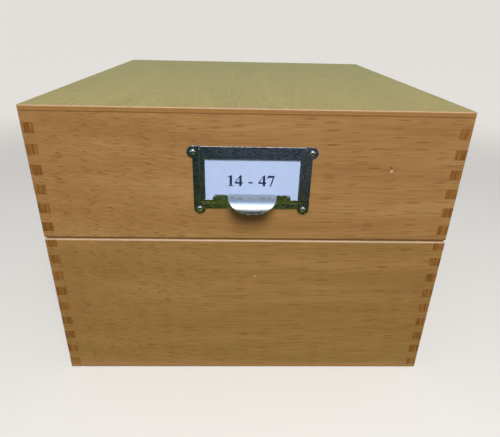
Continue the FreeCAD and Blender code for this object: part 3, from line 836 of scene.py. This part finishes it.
@dataclass
class Joinery:
    """The two finger-jointed frames and their panels, which keep their CAD shape."""

    board_thickness: float = 6.6
    figure_tilt: float = math.radians(1.5)
    panel_tilt: float = math.radians(1.0)
    front_bend: float = 0.0014
    side_end_limit: float = 0.6
    # The case's beech is a darker, slightly more olive copy of the lid's: painted shade and painted green
    # bounce light on the lower front.
    case_light: str = "#9d7745"
    case_dark: str = "#906d3b"
    panel_light: str = "#a38751"
    panel_dark: str = "#997f4c"

    def dress(self) -> None:
        """Gives each board and panel its finish, with the glue lines at the frame's own places."""
        case_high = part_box("case_front")[1] * PER_METRE
        lid_low, lid_high = (corner * PER_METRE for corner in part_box("lid_front"))
        front = -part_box("case_back")[1].y * PER_METRE
        chips = (Speck((77.0, front, 140.3), 0.75, "#d9c9ae"), Speck((76.6, front, 142.2), 0.6, "#3d2a17"),
                 Speck((5.0, front, 73.0), 0.7, "#c4a67c"))
        long = {"grain": Grain.ALONG_X, "inner_across": -front - self.board_thickness}
        short = {"grain": Grain.ALONG_Y, "inner_across": case_high.x - self.board_thickness,
                 "end_limit": self.side_end_limit}
        sides = {
            "front": {**long, "offset": (0.0, 0.0, 7.0), "bend": self.front_bend, "specks": chips},
            "back": {**long, "offset": (310.0, 0.0, 55.0)},
            "left": {**short, "offset": (640.0, 0.0, 21.0)},
            "right": {**short, "offset": (950.0, 0.0, 83.0)},
        }
        for side, figure in sides.items():
            figure["tilt"] = self.figure_tilt if side in ("front", "left") else -self.figure_tilt
            figure["finger_tops"] = (case_high.z, lid_high.z)
            figure["split"] = (case_high.z + lid_low.z) / 2
            lid = LacqueredBeech(f"lacquered_beech_lid_{side}", **figure)
            # The case boards take the darker copy of the beech, which is painted shade.
            case = LacqueredBeech(f"lacquered_beech_case_{side}", light=self.case_light,
                                  dark=self.case_dark, **figure)
            dress_node(f"lid_{side}", lid.material())
            dress_node(f"case_{side}", case.material())
        for node in ("lid_panel", "base_panel"):
            low, high = (corner.z * PER_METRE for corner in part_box(node))
            veneer = BeechVeneer(f"beech_veneer_{node}", Grain.ALONG_Y, tilt=self.panel_tilt,
                                 offset=(1200.0, 40.0, 0.0), light=self.panel_light,
                                 dark=self.panel_dark, bottom=low, thickness=high - low)
            dress_node(node, veneer.material())


@dataclass
class Hinges:
    """The two stop hinges at the rear, which keep their CAD shape."""

    plating: PlatedMetal = PlatedMetal("nickel_plated_strip", colour="#bdb9b0", roughness=0.28,
                                       roughness_spread=0.08, mark_size=0.8, mark_stretch=(12.0, 1.0, 1.0))

    def dress(self) -> None:
        """Gives the leaves and pins their finish."""
        material = self.plating.material()
        for side in ("left", "right"):
            for part in ("hinge_case_leaf", "hinge_lid_leaf", "hinge_pin"):
                dress_node(f"{side}_{part}", material)


@dataclass
class CardSupport:
    """The sliding plate, its shoe and its rail, which keep their CAD shape."""

    # The skin that zinc grows in air is not metal, so half of the light scatters as on grey paint.
    sheet: PlatedMetal = PlatedMetal("galvanised_steel_sheet", colour="#a9acae", roughness=0.38,
                                     roughness_spread=0.04, mark_size=6.0, wave_size=40.0, metallic=0.5)
    shoe: MouldedPolyamide = MouldedPolyamide("moulded_polyamide")

    def dress(self) -> None:
        """Gives the sheet parts and the shoe their finishes."""
        material = self.sheet.material()
        for node in ("follower_rail", "follower_plate"):
            dress_node(node, material)
        dress_node("follower_shoe", self.shoe.material())


# --- Fasteners -----------------------------------------------------------------------------------
class Facing(Enum):
    """Where a fastener's head points, as the turn that brings +Z there."""

    FRONT = (math.pi / 2, 0.0, 0.0)
    REAR = (-math.pi / 2, 0.0, 0.0)
    UP = (0.0, 0.0, 0.0)

    def outward(self) -> Vector:
        """Unit vector from the seat to the crown."""
        return Euler(self.value).to_matrix() @ Vector((0.0, 0.0, 1.0))


@dataclass(frozen=True)
class Fasteners:
    """One kind of turned fastener, placed on the CAD solids that it stands for."""

    node: str
    body: str
    slot: str
    facing: Facing
    head_radius: float
    head_height: float
    shank_radius: float
    slotted: bool = False
    slot_width: float = 0.55
    slot_depth: float = 0.45
    sides: int = 12
    smooth_below: float = 38.0
    seed: int = 7

    def seats(self) -> list[Vector]:
        """Finds where each head sits, from the CAD solids.

        Returns:
            Seat centres in metres.
        """
        copy = bmesh.new()
        copy.from_mesh(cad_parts[self.node].data)
        bmesh.ops.remove_doubles(copy, verts=copy.verts, dist=0.001 * MM)
        waiting = set(copy.verts)
        outward = self.facing.outward()
        seats = []
        while waiting:
            solid = [waiting.pop()]
            for vertex in solid:
                others = {edge.other_vert(vertex) for edge in vertex.link_edges} & waiting
                waiting -= others
                solid += others
            points = [vertex.co for vertex in solid]
            middle = Vector((min(axis) + max(axis)) / 2 for axis in zip(*points))
            reach = max(point.dot(outward) for point in points)
            seats.append(middle + outward * (reach - middle.dot(outward) - self.head_height * MM))
        copy.free()
        return sorted(seats, key=lambda seat: (seat.x, seat.y, seat.z))

    def shank_length(self) -> float:
        """Length below the head, in millimetres, from the CAD box."""
        low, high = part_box(self.node)
        return abs((high - low).dot(self.facing.outward())) * PER_METRE - self.head_height

    def build(self, material: Material) -> None:
        """Builds all of them as one mesh and puts them in place of the CAD node.

        Args:
            material: Their finish.
        """
        piece = new_piece(f"{self.node}_turned", self.seats(), [])
        modify(piece, "NODES", node_group=self.tree())
        settle(piece, self.smooth_below)
        finish_piece(piece, self.body, self.slot, material, [self.node])

    def tree(self) -> Tree:
        """Builds the geometry tree that puts one on every seat, each turned by chance.

        Returns:
            The tree.
        """
        tree = bpy.data.node_groups.new(f"{self.node}_turned", "GeometryNodeTree")
        for way in ("INPUT", "OUTPUT"):
            tree.interface.new_socket("Geometry", in_out=way, socket_type="NodeSocketGeometry")
        add = partial(add_node, tree)
        seats = add("NodeGroupInput")

        ball = add("GeometryNodeMeshUVSphere", {
            "Segments": 2 * self.sides, "Rings": self.sides, "Radius": self.head_radius * MM})
        x = add("SeparateXYZ", (add("GeometryNodeInputPosition"),))
        above = add("Math", (x.node.outputs["Z"], 0.0), "MAXIMUM")
        squat = add("Math", (self.head_height * MM, self.head_radius * MM), "DIVIDE")
        crown = add("Math", (above, squat), "MULTIPLY")
        domed = add("CombineXYZ", (x, x.node.outputs["Y"], crown))
        head = add("GeometryNodeSetPosition", {"Geometry": ball, "Position": domed})
        if self.slotted:
            size = Vector((self.head_radius * MM, self.slot_width * MM, self.slot_depth * MM))
            blade = add("GeometryNodeMeshCube", {"Size": size * Vector((3.0, 1.0, 2.0))})
            top = (0.0, 0.0, self.head_height * MM)
            blade = add("GeometryNodeTransform", {"Geometry": blade, "Translation": top})
            head = add("GeometryNodeMeshBoolean", {"Mesh 1": head, "Mesh 2": blade}, "DIFFERENCE")

        length = self.shank_length() * MM
        shank = add("GeometryNodeMeshCylinder", {
            "Vertices": self.sides, "Radius": self.shank_radius * MM, "Depth": length})
        middle = (0.0, 0.0, -length / 2)
        shank = add("GeometryNodeTransform", {"Geometry": shank, "Translation": middle})
        both = add("GeometryNodeJoinGeometry").node
        for part in (shank, head):
            tree.links.new(part, both.inputs[0])

        spin = add("FunctionNodeRandomValue", {"Min": 0.0, "Max": math.pi, "Seed": self.seed},
                   data_type="FLOAT")
        spin = add("FunctionNodeEulerToRotation", (add("CombineXYZ", (0.0, 0.0, spin)),))
        facing = add("FunctionNodeEulerToRotation", (self.facing.value,))
        turned = add("FunctionNodeRotateRotation", (facing, spin), rotation_space="LOCAL")
        placed = add("GeometryNodeInstanceOnPoints", {
            "Points": seats, "Instance": both.outputs[0], "Rotation": turned})
        add("NodeGroupOutput", (add("GeometryNodeRealizeInstances", (placed,)),))
        return tree


# --- Label holder and card -----------------------------------------------------------------------
@dataclass
class LabelHolder:
    """Stamped sheet holder: flange with ears, raised pocket, window, and a tab curled into a pull.

    It is drawn as the flat blank, X across and Z up from the middle of its lower edge, then
    embossed and folded.
    """

    width: float = 63.7
    height: float = 35.5
    sheet: float = 0.6
    flange: float = 3.6
    ear_radius: float = 3.3
    top_ear_inset: float = 0.4
    pocket_depth: float = 0.8
    step_start: float = -0.5
    step_end: float = 0.65
    step_lines: int = 7
    step_corner: float = 1.9
    window_width: float = 50.6
    window_height: float = 22.6
    window_rise: float = 5.8
    tab_width: float = 42.6
    tab_rise: float = 2.9
    tab_corner: float = 2.2
    tab_lean: float = 0.2
    relief_width: float = 0.45
    relief_depth: float = 0.25
    pull_width: float = 26.2
    pull_straight: float = 2.5
    pull_roundness: float = 2.5
    pull_tip_share: float = 0.995
    pull_bend: float = 0.4
    pull_flat: float = 2.2
    pull_radius: float = 8.1
    pull_angle: float = 83.0
    pull_crown: float = 0.15
    pull_columns: int = 20
    pull_rows: int = 22
    rim_rounding: float = 0.29
    rim_angle: float = 50.0
    ear_chords: int = 24
    tab_chords: int = 8
    step_chords: int = 6
    bend_chords: int = 5

    def __post_init__(self) -> None:
        """Finds the holder's place from its CAD box."""
        low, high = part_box("label_holder")
        self.centre = (low.x + high.x) / 2 * PER_METRE
        self.bottom = high.z * PER_METRE - self.height
        self.wood = high.y * PER_METRE
        self.bend_level = self.window_rise + self.tab_rise - self.sheet
        self.bend_lean = self.tab_lean * (1 - self.sheet / self.tab_rise)
        self.face = self.pocket_depth + self.sheet

    def build(self, material: Material) -> None:
        """Builds the holder in place of its CAD node.

        Args:
            material: Its finish.
        """
        flat, faces = cut_sheet(self.outline(), [self.window()], self.step_creases())
        points = [self.placed(x, self.sheet + self.emboss(x, z), z) for x, z in flat]
        pull_points, pull_faces = self.pull()
        faces += [tuple(len(points) + index for index in face) for face in pull_faces]
        piece = new_piece("label_holder_stamped", points + pull_points, faces)
        joined = bmesh.new()
        joined.from_mesh(piece.data)
        bmesh.ops.remove_doubles(joined, verts=joined.verts, dist=0.02 * MM)
        bmesh.ops.recalc_face_normals(joined, faces=joined.faces)
        flange = min(joined.faces, key=lambda face: face.calc_center_median().x)
        if flange.normal.y > 0:
            bmesh.ops.reverse_faces(joined, faces=joined.faces)
        joined.to_mesh(piece.data)
        joined.free()
        modify(piece, "SOLIDIFY", thickness=self.sheet * MM, offset=-1.0, use_even_offset=True)
        modify(piece, "BEVEL", width=self.rim_rounding * MM, segments=3, limit_method="ANGLE",
               angle_limit=math.radians(self.rim_angle), use_clamp_overlap=False)
        modify(piece, "WEIGHTED_NORMAL", keep_sharp=True)
        settle(piece)
        finish_piece(piece, "lid", "nickel", material, ["label_holder"])

    def placed(self, x: float, proud: float, z: float) -> Vector:
        """Point of the box, in metres, from the holder's own millimetres."""
        return Vector((self.centre + x, self.wood - proud, self.bottom + z)) * MM

    def outline(self) -> Loop:
        """Outer edge of the blank with its four ears.

        Returns:
            The closed edge.
        """
        half = self.width / 2
        meets = math.degrees(math.acos(self.top_ear_inset / self.ear_radius))
        centre = (half - self.top_ear_inset, self.height - self.ear_radius)
        top = arc(centre, self.ear_radius, 90, -meets, self.ear_chords)
        foot = arc((half - self.ear_radius, 0.0), self.ear_radius, 0, -180, self.ear_chords)
        return mirrored(top + foot)

    def window(self) -> Loop:
        """Edge of the window, with the tab's shoulders and the notches beside the pull.

        Returns:
            The closed edge.
        """
        half = self.window_width / 2
        half_tab = self.tab_width / 2
        tab_top = self.window_rise + self.tab_rise
        half_pull = self.pull_width / 2
        notch = self.bend_level - self.relief_depth
        centre = (self.tab_corner - half_tab, tab_top - self.tab_corner)
        shoulder = arc(centre, self.tab_corner, 180, 90, self.tab_chords)
        left = [(-half, self.window_rise), (-half_tab, self.window_rise)] + shoulder + [
            (-half_pull - self.relief_width, tab_top),
            (-half_pull - self.relief_width, notch),
            (-half_pull, notch),
        ]
        bend = [(-half_pull + self.pull_width * index / self.pull_columns, self.bend_level)
                for index in range(self.pull_columns + 1)]
        top = self.window_rise + self.window_height
        return left + bend + [(-x, z) for x, z in reversed(left)] + [(half, top), (-half, top)]

    def step_creases(self) -> list[Loop]:
        """Lines along the step, each at one height.

        Returns:
            Open lines down one side, round the foot and up the other.
        """
        lines = []
        for index in range(self.step_lines):
            inward = self.step_start + (self.step_end - self.step_start) * index / (self.step_lines - 1)
            side = self.width / 2 - self.flange - inward
            radius = self.step_corner - inward
            centre = (side - radius, self.flange + inward + radius)
            lines.append(mirrored([(side, self.height)] + arc(centre, radius, 0, -90, self.step_chords)))
        return lines

    def emboss(self, x: float, z: float) -> float:
        """Rise of the pocket, and of the leaning tab, at a point of the blank.

        Args:
            x: Distance from the middle.
            z: Height above the lower edge.

        Returns:
            Rise above the flange.
        """
        beside = abs(x) - (self.width / 2 - self.flange - self.step_corner)
        below = self.flange + self.step_corner - z
        reach = math.hypot(beside, below) if beside > 0 and below > 0 else max(beside, below)
        share = (self.step_corner - reach - self.step_start) / (self.step_end - self.step_start)
        share = min(max(share, 0.0), 1.0)
        lean = 0.0
        if abs(x) <= self.tab_width / 2 and self.window_rise < z <= self.window_rise + self.tab_rise:
            lean = self.tab_lean * (z - self.window_rise) / self.tab_rise
        return self.pocket_depth * share * share * (3 - 2 * share) + lean

    def pull(self) -> tuple[list[Vector], Faces]:
        """Tongue from the tab's upper edge: bent forward, then curled down, with a rounded tip.

        Returns:
            Its points, and its faces as indices into them.
        """
        bend_proud = self.face + self.bend_lean + self.pull_bend
        straight = self.pull_flat - self.bend_lean
        top = self.bend_level + self.pull_bend
        inner = self.pull_radius - self.sheet
        length = straight + self.pull_radius * math.radians(self.pull_angle)
        section = [(proud, level, 0.0, 0.0) for proud, level
                   in arc((bend_proud, self.bend_level), self.pull_bend, 180, 90, self.bend_chords)]
        for row in range(1, self.pull_rows + 1):
            run = length * math.sin(math.pi / 2 * row / self.pull_rows)
            angle = max(run - straight, 0.0) / self.pull_radius
            section.append((bend_proud + min(run, straight) + inner * math.sin(angle),
                            top - inner * (1 - math.cos(angle)), run, angle))
        points = []
        for proud, level, run, angle in section:
            half = self.half_pull(run / length, self.pull_straight / length)
            for index in range(self.pull_columns + 1):
                across = 2 * index / self.pull_columns - 1
                sunk = self.pull_crown * across * across * run / length
                points.append(self.placed(half * across, proud - sunk * math.sin(angle),
                                          level - sunk * math.cos(angle)))
        return points, grid_faces(len(section) - 1, self.pull_columns)

    def half_pull(self, share: float, straight: float) -> float:
        """Half the pull's width at a share of its length, a superellipse beyond the straight share."""
        along = max(share - straight, 0.0) / (1 - straight) * self.pull_tip_share
        return self.pull_width / 2 * (1 - along ** self.pull_roundness) ** (1 / self.pull_roundness)


class Glyph(Enum):
    """Bold numerals with serifs, as outlines and counters on an em of one."""

    ONE = (
        ((0.07, 0.0), (0.46, 0.0), (0.46, 0.022), (0.375, 0.035), (0.345, 0.075), (0.345, 0.676),
         (0.32, 0.676), (0.065, 0.575), (0.075, 0.55), (0.14, 0.565), (0.19, 0.56), (0.205, 0.53),
         (0.205, 0.075), (0.175, 0.035), (0.07, 0.022)),
        (),
    )
    FOUR = (
        ((0.28, 0.0), (0.415, 0.0), (0.415, 0.155), (0.48, 0.155), (0.48, 0.255), (0.415, 0.255),
         (0.415, 0.676), (0.325, 0.676), (0.02, 0.245), (0.02, 0.155), (0.28, 0.155)),
        ((0.09, 0.255), (0.28, 0.255), (0.28, 0.535)),
    )
    SEVEN = (
        ((0.19, -0.012), (0.275, -0.012), (0.475, 0.635), (0.475, 0.665), (0.085, 0.665), (0.035, 0.46),
         (0.065, 0.455), (0.11, 0.515), (0.17, 0.54), (0.37, 0.54)),
        (),
    )
    DASH = (((0.04, 0.175), (0.29, 0.175), (0.29, 0.265), (0.04, 0.265)), ())

    def advance(self) -> float:
        """Width that the glyph takes up in a line."""
        return 0.333 if self is Glyph.DASH else 0.5


@dataclass
class LabelCard:
    """The index board in the holder's pocket, slightly bowed, with its printed numbers."""

    bow: float = 0.1
    sway: float = 0.03
    columns: int = 36
    rows: int = 20
    em: float = 9.1
    space: float = 0.28
    ink: float = 0.03
    text: tuple[Glyph | None, ...] = (
        Glyph.ONE, Glyph.FOUR, None, Glyph.DASH, None, Glyph.FOUR, Glyph.SEVEN)
    text_middle: float = 1.0
    text_foot: float = 131.0
    smooth_below: float = 40.0

    def __post_init__(self) -> None:
        """Takes the card's place and size from its CAD box, in millimetres."""
        self.low, high = (corner * PER_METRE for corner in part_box("label_card"))
        self.size = high - self.low

    def build(self, board: Material, ink: Material) -> None:
        """Builds the card in place of its CAD node, and prints it.

        Args:
            board: The card's finish.
            ink: The print's finish.
        """
        points = [self.on_face(self.low.x + self.size.x * column / self.columns,
                               self.low.z + self.size.z * row / self.rows, 0.0)
                  for row in range(self.rows + 1) for column in range(self.columns + 1)]
        piece = new_piece("label_card_bowed", points, grid_faces(self.rows, self.columns))
        self.thicken(piece, self.size.y)
        finish_piece(piece, "label_card", "card", board, ["label_card"])
        self.print_numbers(ink)

    def on_face(self, x: float, level: float, proud: float) -> Vector:
        """Point in front of the bowed card's face.

        Args:
            x: Across the box, in millimetres.
            level: Height, in millimetres.
            proud: Distance in front of the face, in millimetres.

        Returns:
            The point in metres.
        """
        share, rise = (x - self.low.x) / self.size.x, (level - self.low.z) / self.size.z
        bowed = self.bow * math.sin(math.pi * share) + self.sway * math.sin(5 * share + 4 * rise)
        return Vector((x, self.low.y - bowed - proud, level)) * MM

    def thicken(self, piece: Piece, thickness: float) -> None:
        """Gives a sheet its thickness in millimetres, away from its face."""
        modify(piece, "SOLIDIFY", thickness=thickness * MM, offset=-1.0)
        settle(piece, self.smooth_below)

    def print_numbers(self, ink: Material) -> None:
        """Sets the numbers in a line and lays them on the card.

        Args:
            ink: The print's finish.
        """
        length = sum(glyph.advance() if glyph else self.space for glyph in self.text) * self.em
        start = self.text_middle - length / 2
        points: list[Vector] = []
        faces: Faces = []
        for glyph in self.text:
            if glyph is None:
                start += self.space * self.em
                continue
            outline, counter = glyph.value
            flat, triangles = cut_sheet(list(outline), [list(counter)] if counter else [])
            faces += [tuple(len(points) + index for index in triangle) for triangle in triangles]
            points += [self.on_face(start + x * self.em, self.text_foot + z * self.em, self.ink)
                       for x, z in flat]
            start += glyph.advance() * self.em
        piece = new_piece("label_numbers", points, faces)
        for face in piece.data.polygons:
            if face.normal.y > 0:
                face.flip()
        self.thicken(piece, self.ink)
        finish_piece(piece, "label_card", "card", ink)


# --- Studio --------------------------------------------------------------------------------------
@dataclass
class Studio:
    """Pale seamless floor, soft light and the camera."""

    floor_radius: float = 1300.0
    floor_steps: int = 96
    rim_radius: float = 500.0
    rim_height: float = 700.0
    sky: str = "#ffffff"
    sky_strength: float = 0.34
    sky_in_metal: str = "#a3c6ff"
    low_sky_in_metal: str = "#d8cfae"
    low_sky_in_metal_strength: float = 0.5
    low_sky_until: float = 0.45
    high_sky_from: float = 0.85
    lamp_place: Triple = (90.0, -1100.0, 1200.0)
    lamp_aim: Triple = (0.0, 0.0, 80.0)
    lamp_size: float = 640.0
    lamp_watts: float = 27.5
    camera_place: Triple = (-5.235, -338.317, 212.806)
    camera_turn: Triple = (-0.444, -0.023, -0.030)
    focal_length: float = 30.18
    cloth_near: float = -128.0
    cloth_far: float = -1150.0
    cloth_fold: float = 100.0
    cloth_top: float = 480.0
    cloth_half_width: float = 900.0
    film_centre: Point = (-130.0, 120.0)
    film_radius: float = 1150.0
    film_from: float = 18.5
    film_to: float = 78.0
    film_half_width: float = 380.0
    fold_chords: int = 8
    wide_chords: int = 24
    rim_chords: int = 16
    sensor_width: float = 36.0
    clip_metres: Point = (0.01, 20.0)

    def build(self) -> None:
        """Builds everything round the object."""
        self.floor()
        fold = arc((self.cloth_far, self.cloth_fold), self.cloth_fold - 1.0, -90, -180, self.fold_chords)
        cloth = [(self.cloth_near, 1.0)] + fold + [(self.cloth_far - self.cloth_fold + 1.0, self.cloth_top)]
        self.hang("studio_dark_cloth", cloth, self.cloth_half_width, ShadedReflectionCloth("shaded_reflection_cloth"))
        film = arc(self.film_centre, self.film_radius, 180 - self.film_from, 180 - self.film_to,
                   self.wide_chords)
        self.hang("studio_lit_film", film, self.film_half_width, LitFilm("lit_diffusion_film"))
        self.sky_light()
        self.lamp()
        self.camera()

    def floor(self) -> None:
        """Lays the floor: flat round the box, then rising all round into a low rim."""
        steps = self.floor_steps
        rings = arc((self.floor_radius, self.rim_radius), self.rim_radius, -90, 0, self.rim_chords)
        rings.append((self.floor_radius + self.rim_radius, self.rim_height))
        angles = [2 * math.pi * step / steps for step in range(steps)]
        points = [Vector((0.0, 0.0, 0.0))]
        points += [Vector((radius * math.cos(angle), radius * math.sin(angle), level)) * MM
                   for radius, level in rings for angle in angles]
        faces = []
        for step in range(steps):
            after = (step + 1) % steps
            faces.append((0, 1 + step, 1 + after))
            for inner in range(1, 1 + (len(rings) - 1) * steps, steps):
                outer = inner + steps
                faces.append((inner + step, outer + step, outer + after, inner + after))
        floor = new_piece("studio_floor", points, faces)
        floor.data.materials.append(StudioPaper("seamless_paper").material())

    def hang(self, name: str, course: Loop, half_width: float, finish: Finish) -> None:
        """Hangs a sheet in front of the box that only reflections show, and that shades nothing.

        Args:
            name: Name of the piece.
            course: Its line from the side, as Y and Z.
            half_width: Half its width along X.
            finish: Its finish.
        """
        points = [Vector((side * half_width, y, z)) * MM for y, z in course for side in (-1, 1)]
        piece = new_piece(name, points, grid_faces(len(course) - 1, 1))
        piece.data.materials.append(finish.material())
        for rays in ("camera", "diffuse", "shadow", "transmission"):
            setattr(piece, f"visible_{rays}", False)

    def sky_light(self) -> None:
        """Sets the even sky, with one of its own for reflections and a pale one behind the floor."""
        world = bpy.data.worlds.new("studio_sky")
        world.use_nodes = True
        tree = world.node_tree
        add = partial(add_node, tree)
        rays = add("LightPath").node.outputs
        height = add("SeparateXYZ", (add("TexCoord"),), output=2)
        rise = add("MapRange", (height, self.low_sky_until, self.high_sky_from))
        low = linear(self.low_sky_in_metal, self.low_sky_in_metal_strength)
        bright = add("Mix", (rise, low, linear(self.sky_in_metal)), data_type="RGBA")
        even = add("Background", (linear(self.sky), self.sky_strength))
        bright = add("Background", (bright, 1.0))
        pale = add("Background", (linear(StudioPaper.distant), 1.0))
        sky = add("MixShader", (rays["Is Glossy Ray"], even, bright))
        sky = add("MixShader", (rays["Is Camera Ray"], sky, pale))
        fill(tree, tree.nodes["World Output"], {"Surface": sky})
        bpy.context.scene.world = world

    def lamp(self) -> None:
        """Hangs one soft lamp above and in front, which reflections don't show."""
        light = bpy.data.lights.new("soft_lamp", "AREA")
        light.shape = "RECTANGLE"
        light.size = light.size_y = self.lamp_size * MM
        light.energy = self.lamp_watts
        lamp = bpy.data.objects.new("soft_lamp", light)
        lamp.location = Vector(self.lamp_place) * MM
        lamp.visible_glossy = False
        aim = Vector(self.lamp_aim) * MM - lamp.location
        lamp.rotation_euler = aim.to_track_quat("-Z", "Y").to_euler()
        bpy.context.scene.collection.objects.link(lamp)

    def camera(self) -> None:
        """Places the camera and makes it the scene's."""
        pitch, roll, yaw = self.camera_turn
        lens = bpy.data.cameras.new("camera")
        lens.sensor_width = self.sensor_width
        lens.sensor_fit = "HORIZONTAL"
        lens.lens = self.focal_length
        lens.clip_start, lens.clip_end = self.clip_metres
        camera = bpy.data.objects.new("camera", lens)
        turn = Matrix.Rotation(yaw, 4, "Z") @ Matrix.Rotation(pitch, 4, "X") @ Matrix.Rotation(roll, 4, "Y")
        upright = Matrix.Rotation(math.pi / 2, 4, "X")
        camera.matrix_world = Matrix.Translation(Vector(self.camera_place) * MM) @ turn @ upright
        scene = bpy.context.scene
        scene.collection.objects.link(camera)
        scene.camera = camera
        scene.view_settings.view_transform = "Standard"


def main() -> None:
    """Dresses the box part by part and sets the studio up round it."""
    logging.basicConfig(level=logging.INFO, format="%(name)s: %(message)s")
    Joinery().dress()
    Hinges().dress()
    CardSupport().dress()
    nickel = HandledPlating("bright_nickel_plating", roughness=0.2, mark_size=0.6, mark_shade=0.6,
                            mark_edge=0.11, mark_stretch=(2.2, 1.0, 1.0))
    LabelHolder().build(nickel.material())
    board, ink = IndexBoard("calendered_index_board"), PrintersInk("printed_toner")
    LabelCard().build(board.material(), ink.material())
    polished = PlatedMetal("polished_nickel_plating", roughness=0.13, roughness_spread=0.03)
    Fasteners("label_nails", "lid", "nickel", Facing.FRONT, head_radius=1.55, head_height=0.9,
              shank_radius=0.6).build(polished.material())
    zinc = PlatedMetal("bright_zinc_plating", colour="#c3c3c0", roughness=0.24).material()
    for body in ("case", "lid"):
        Fasteners(f"{body}_hinge_screws", body, "screw_steel", Facing.REAR, head_radius=2.1,
                  head_height=1.0, shank_radius=1.0, slotted=True).build(zinc)
    for node, body in (("rail_rivets", "case"), ("follower_rivets", "follower")):
        Fasteners(node, body, "screw_steel", Facing.UP, head_radius=2.6, head_height=0.6,
                  shank_radius=1.5).build(zinc)
    Studio().build()


if __name__ == "__main__":
    main()
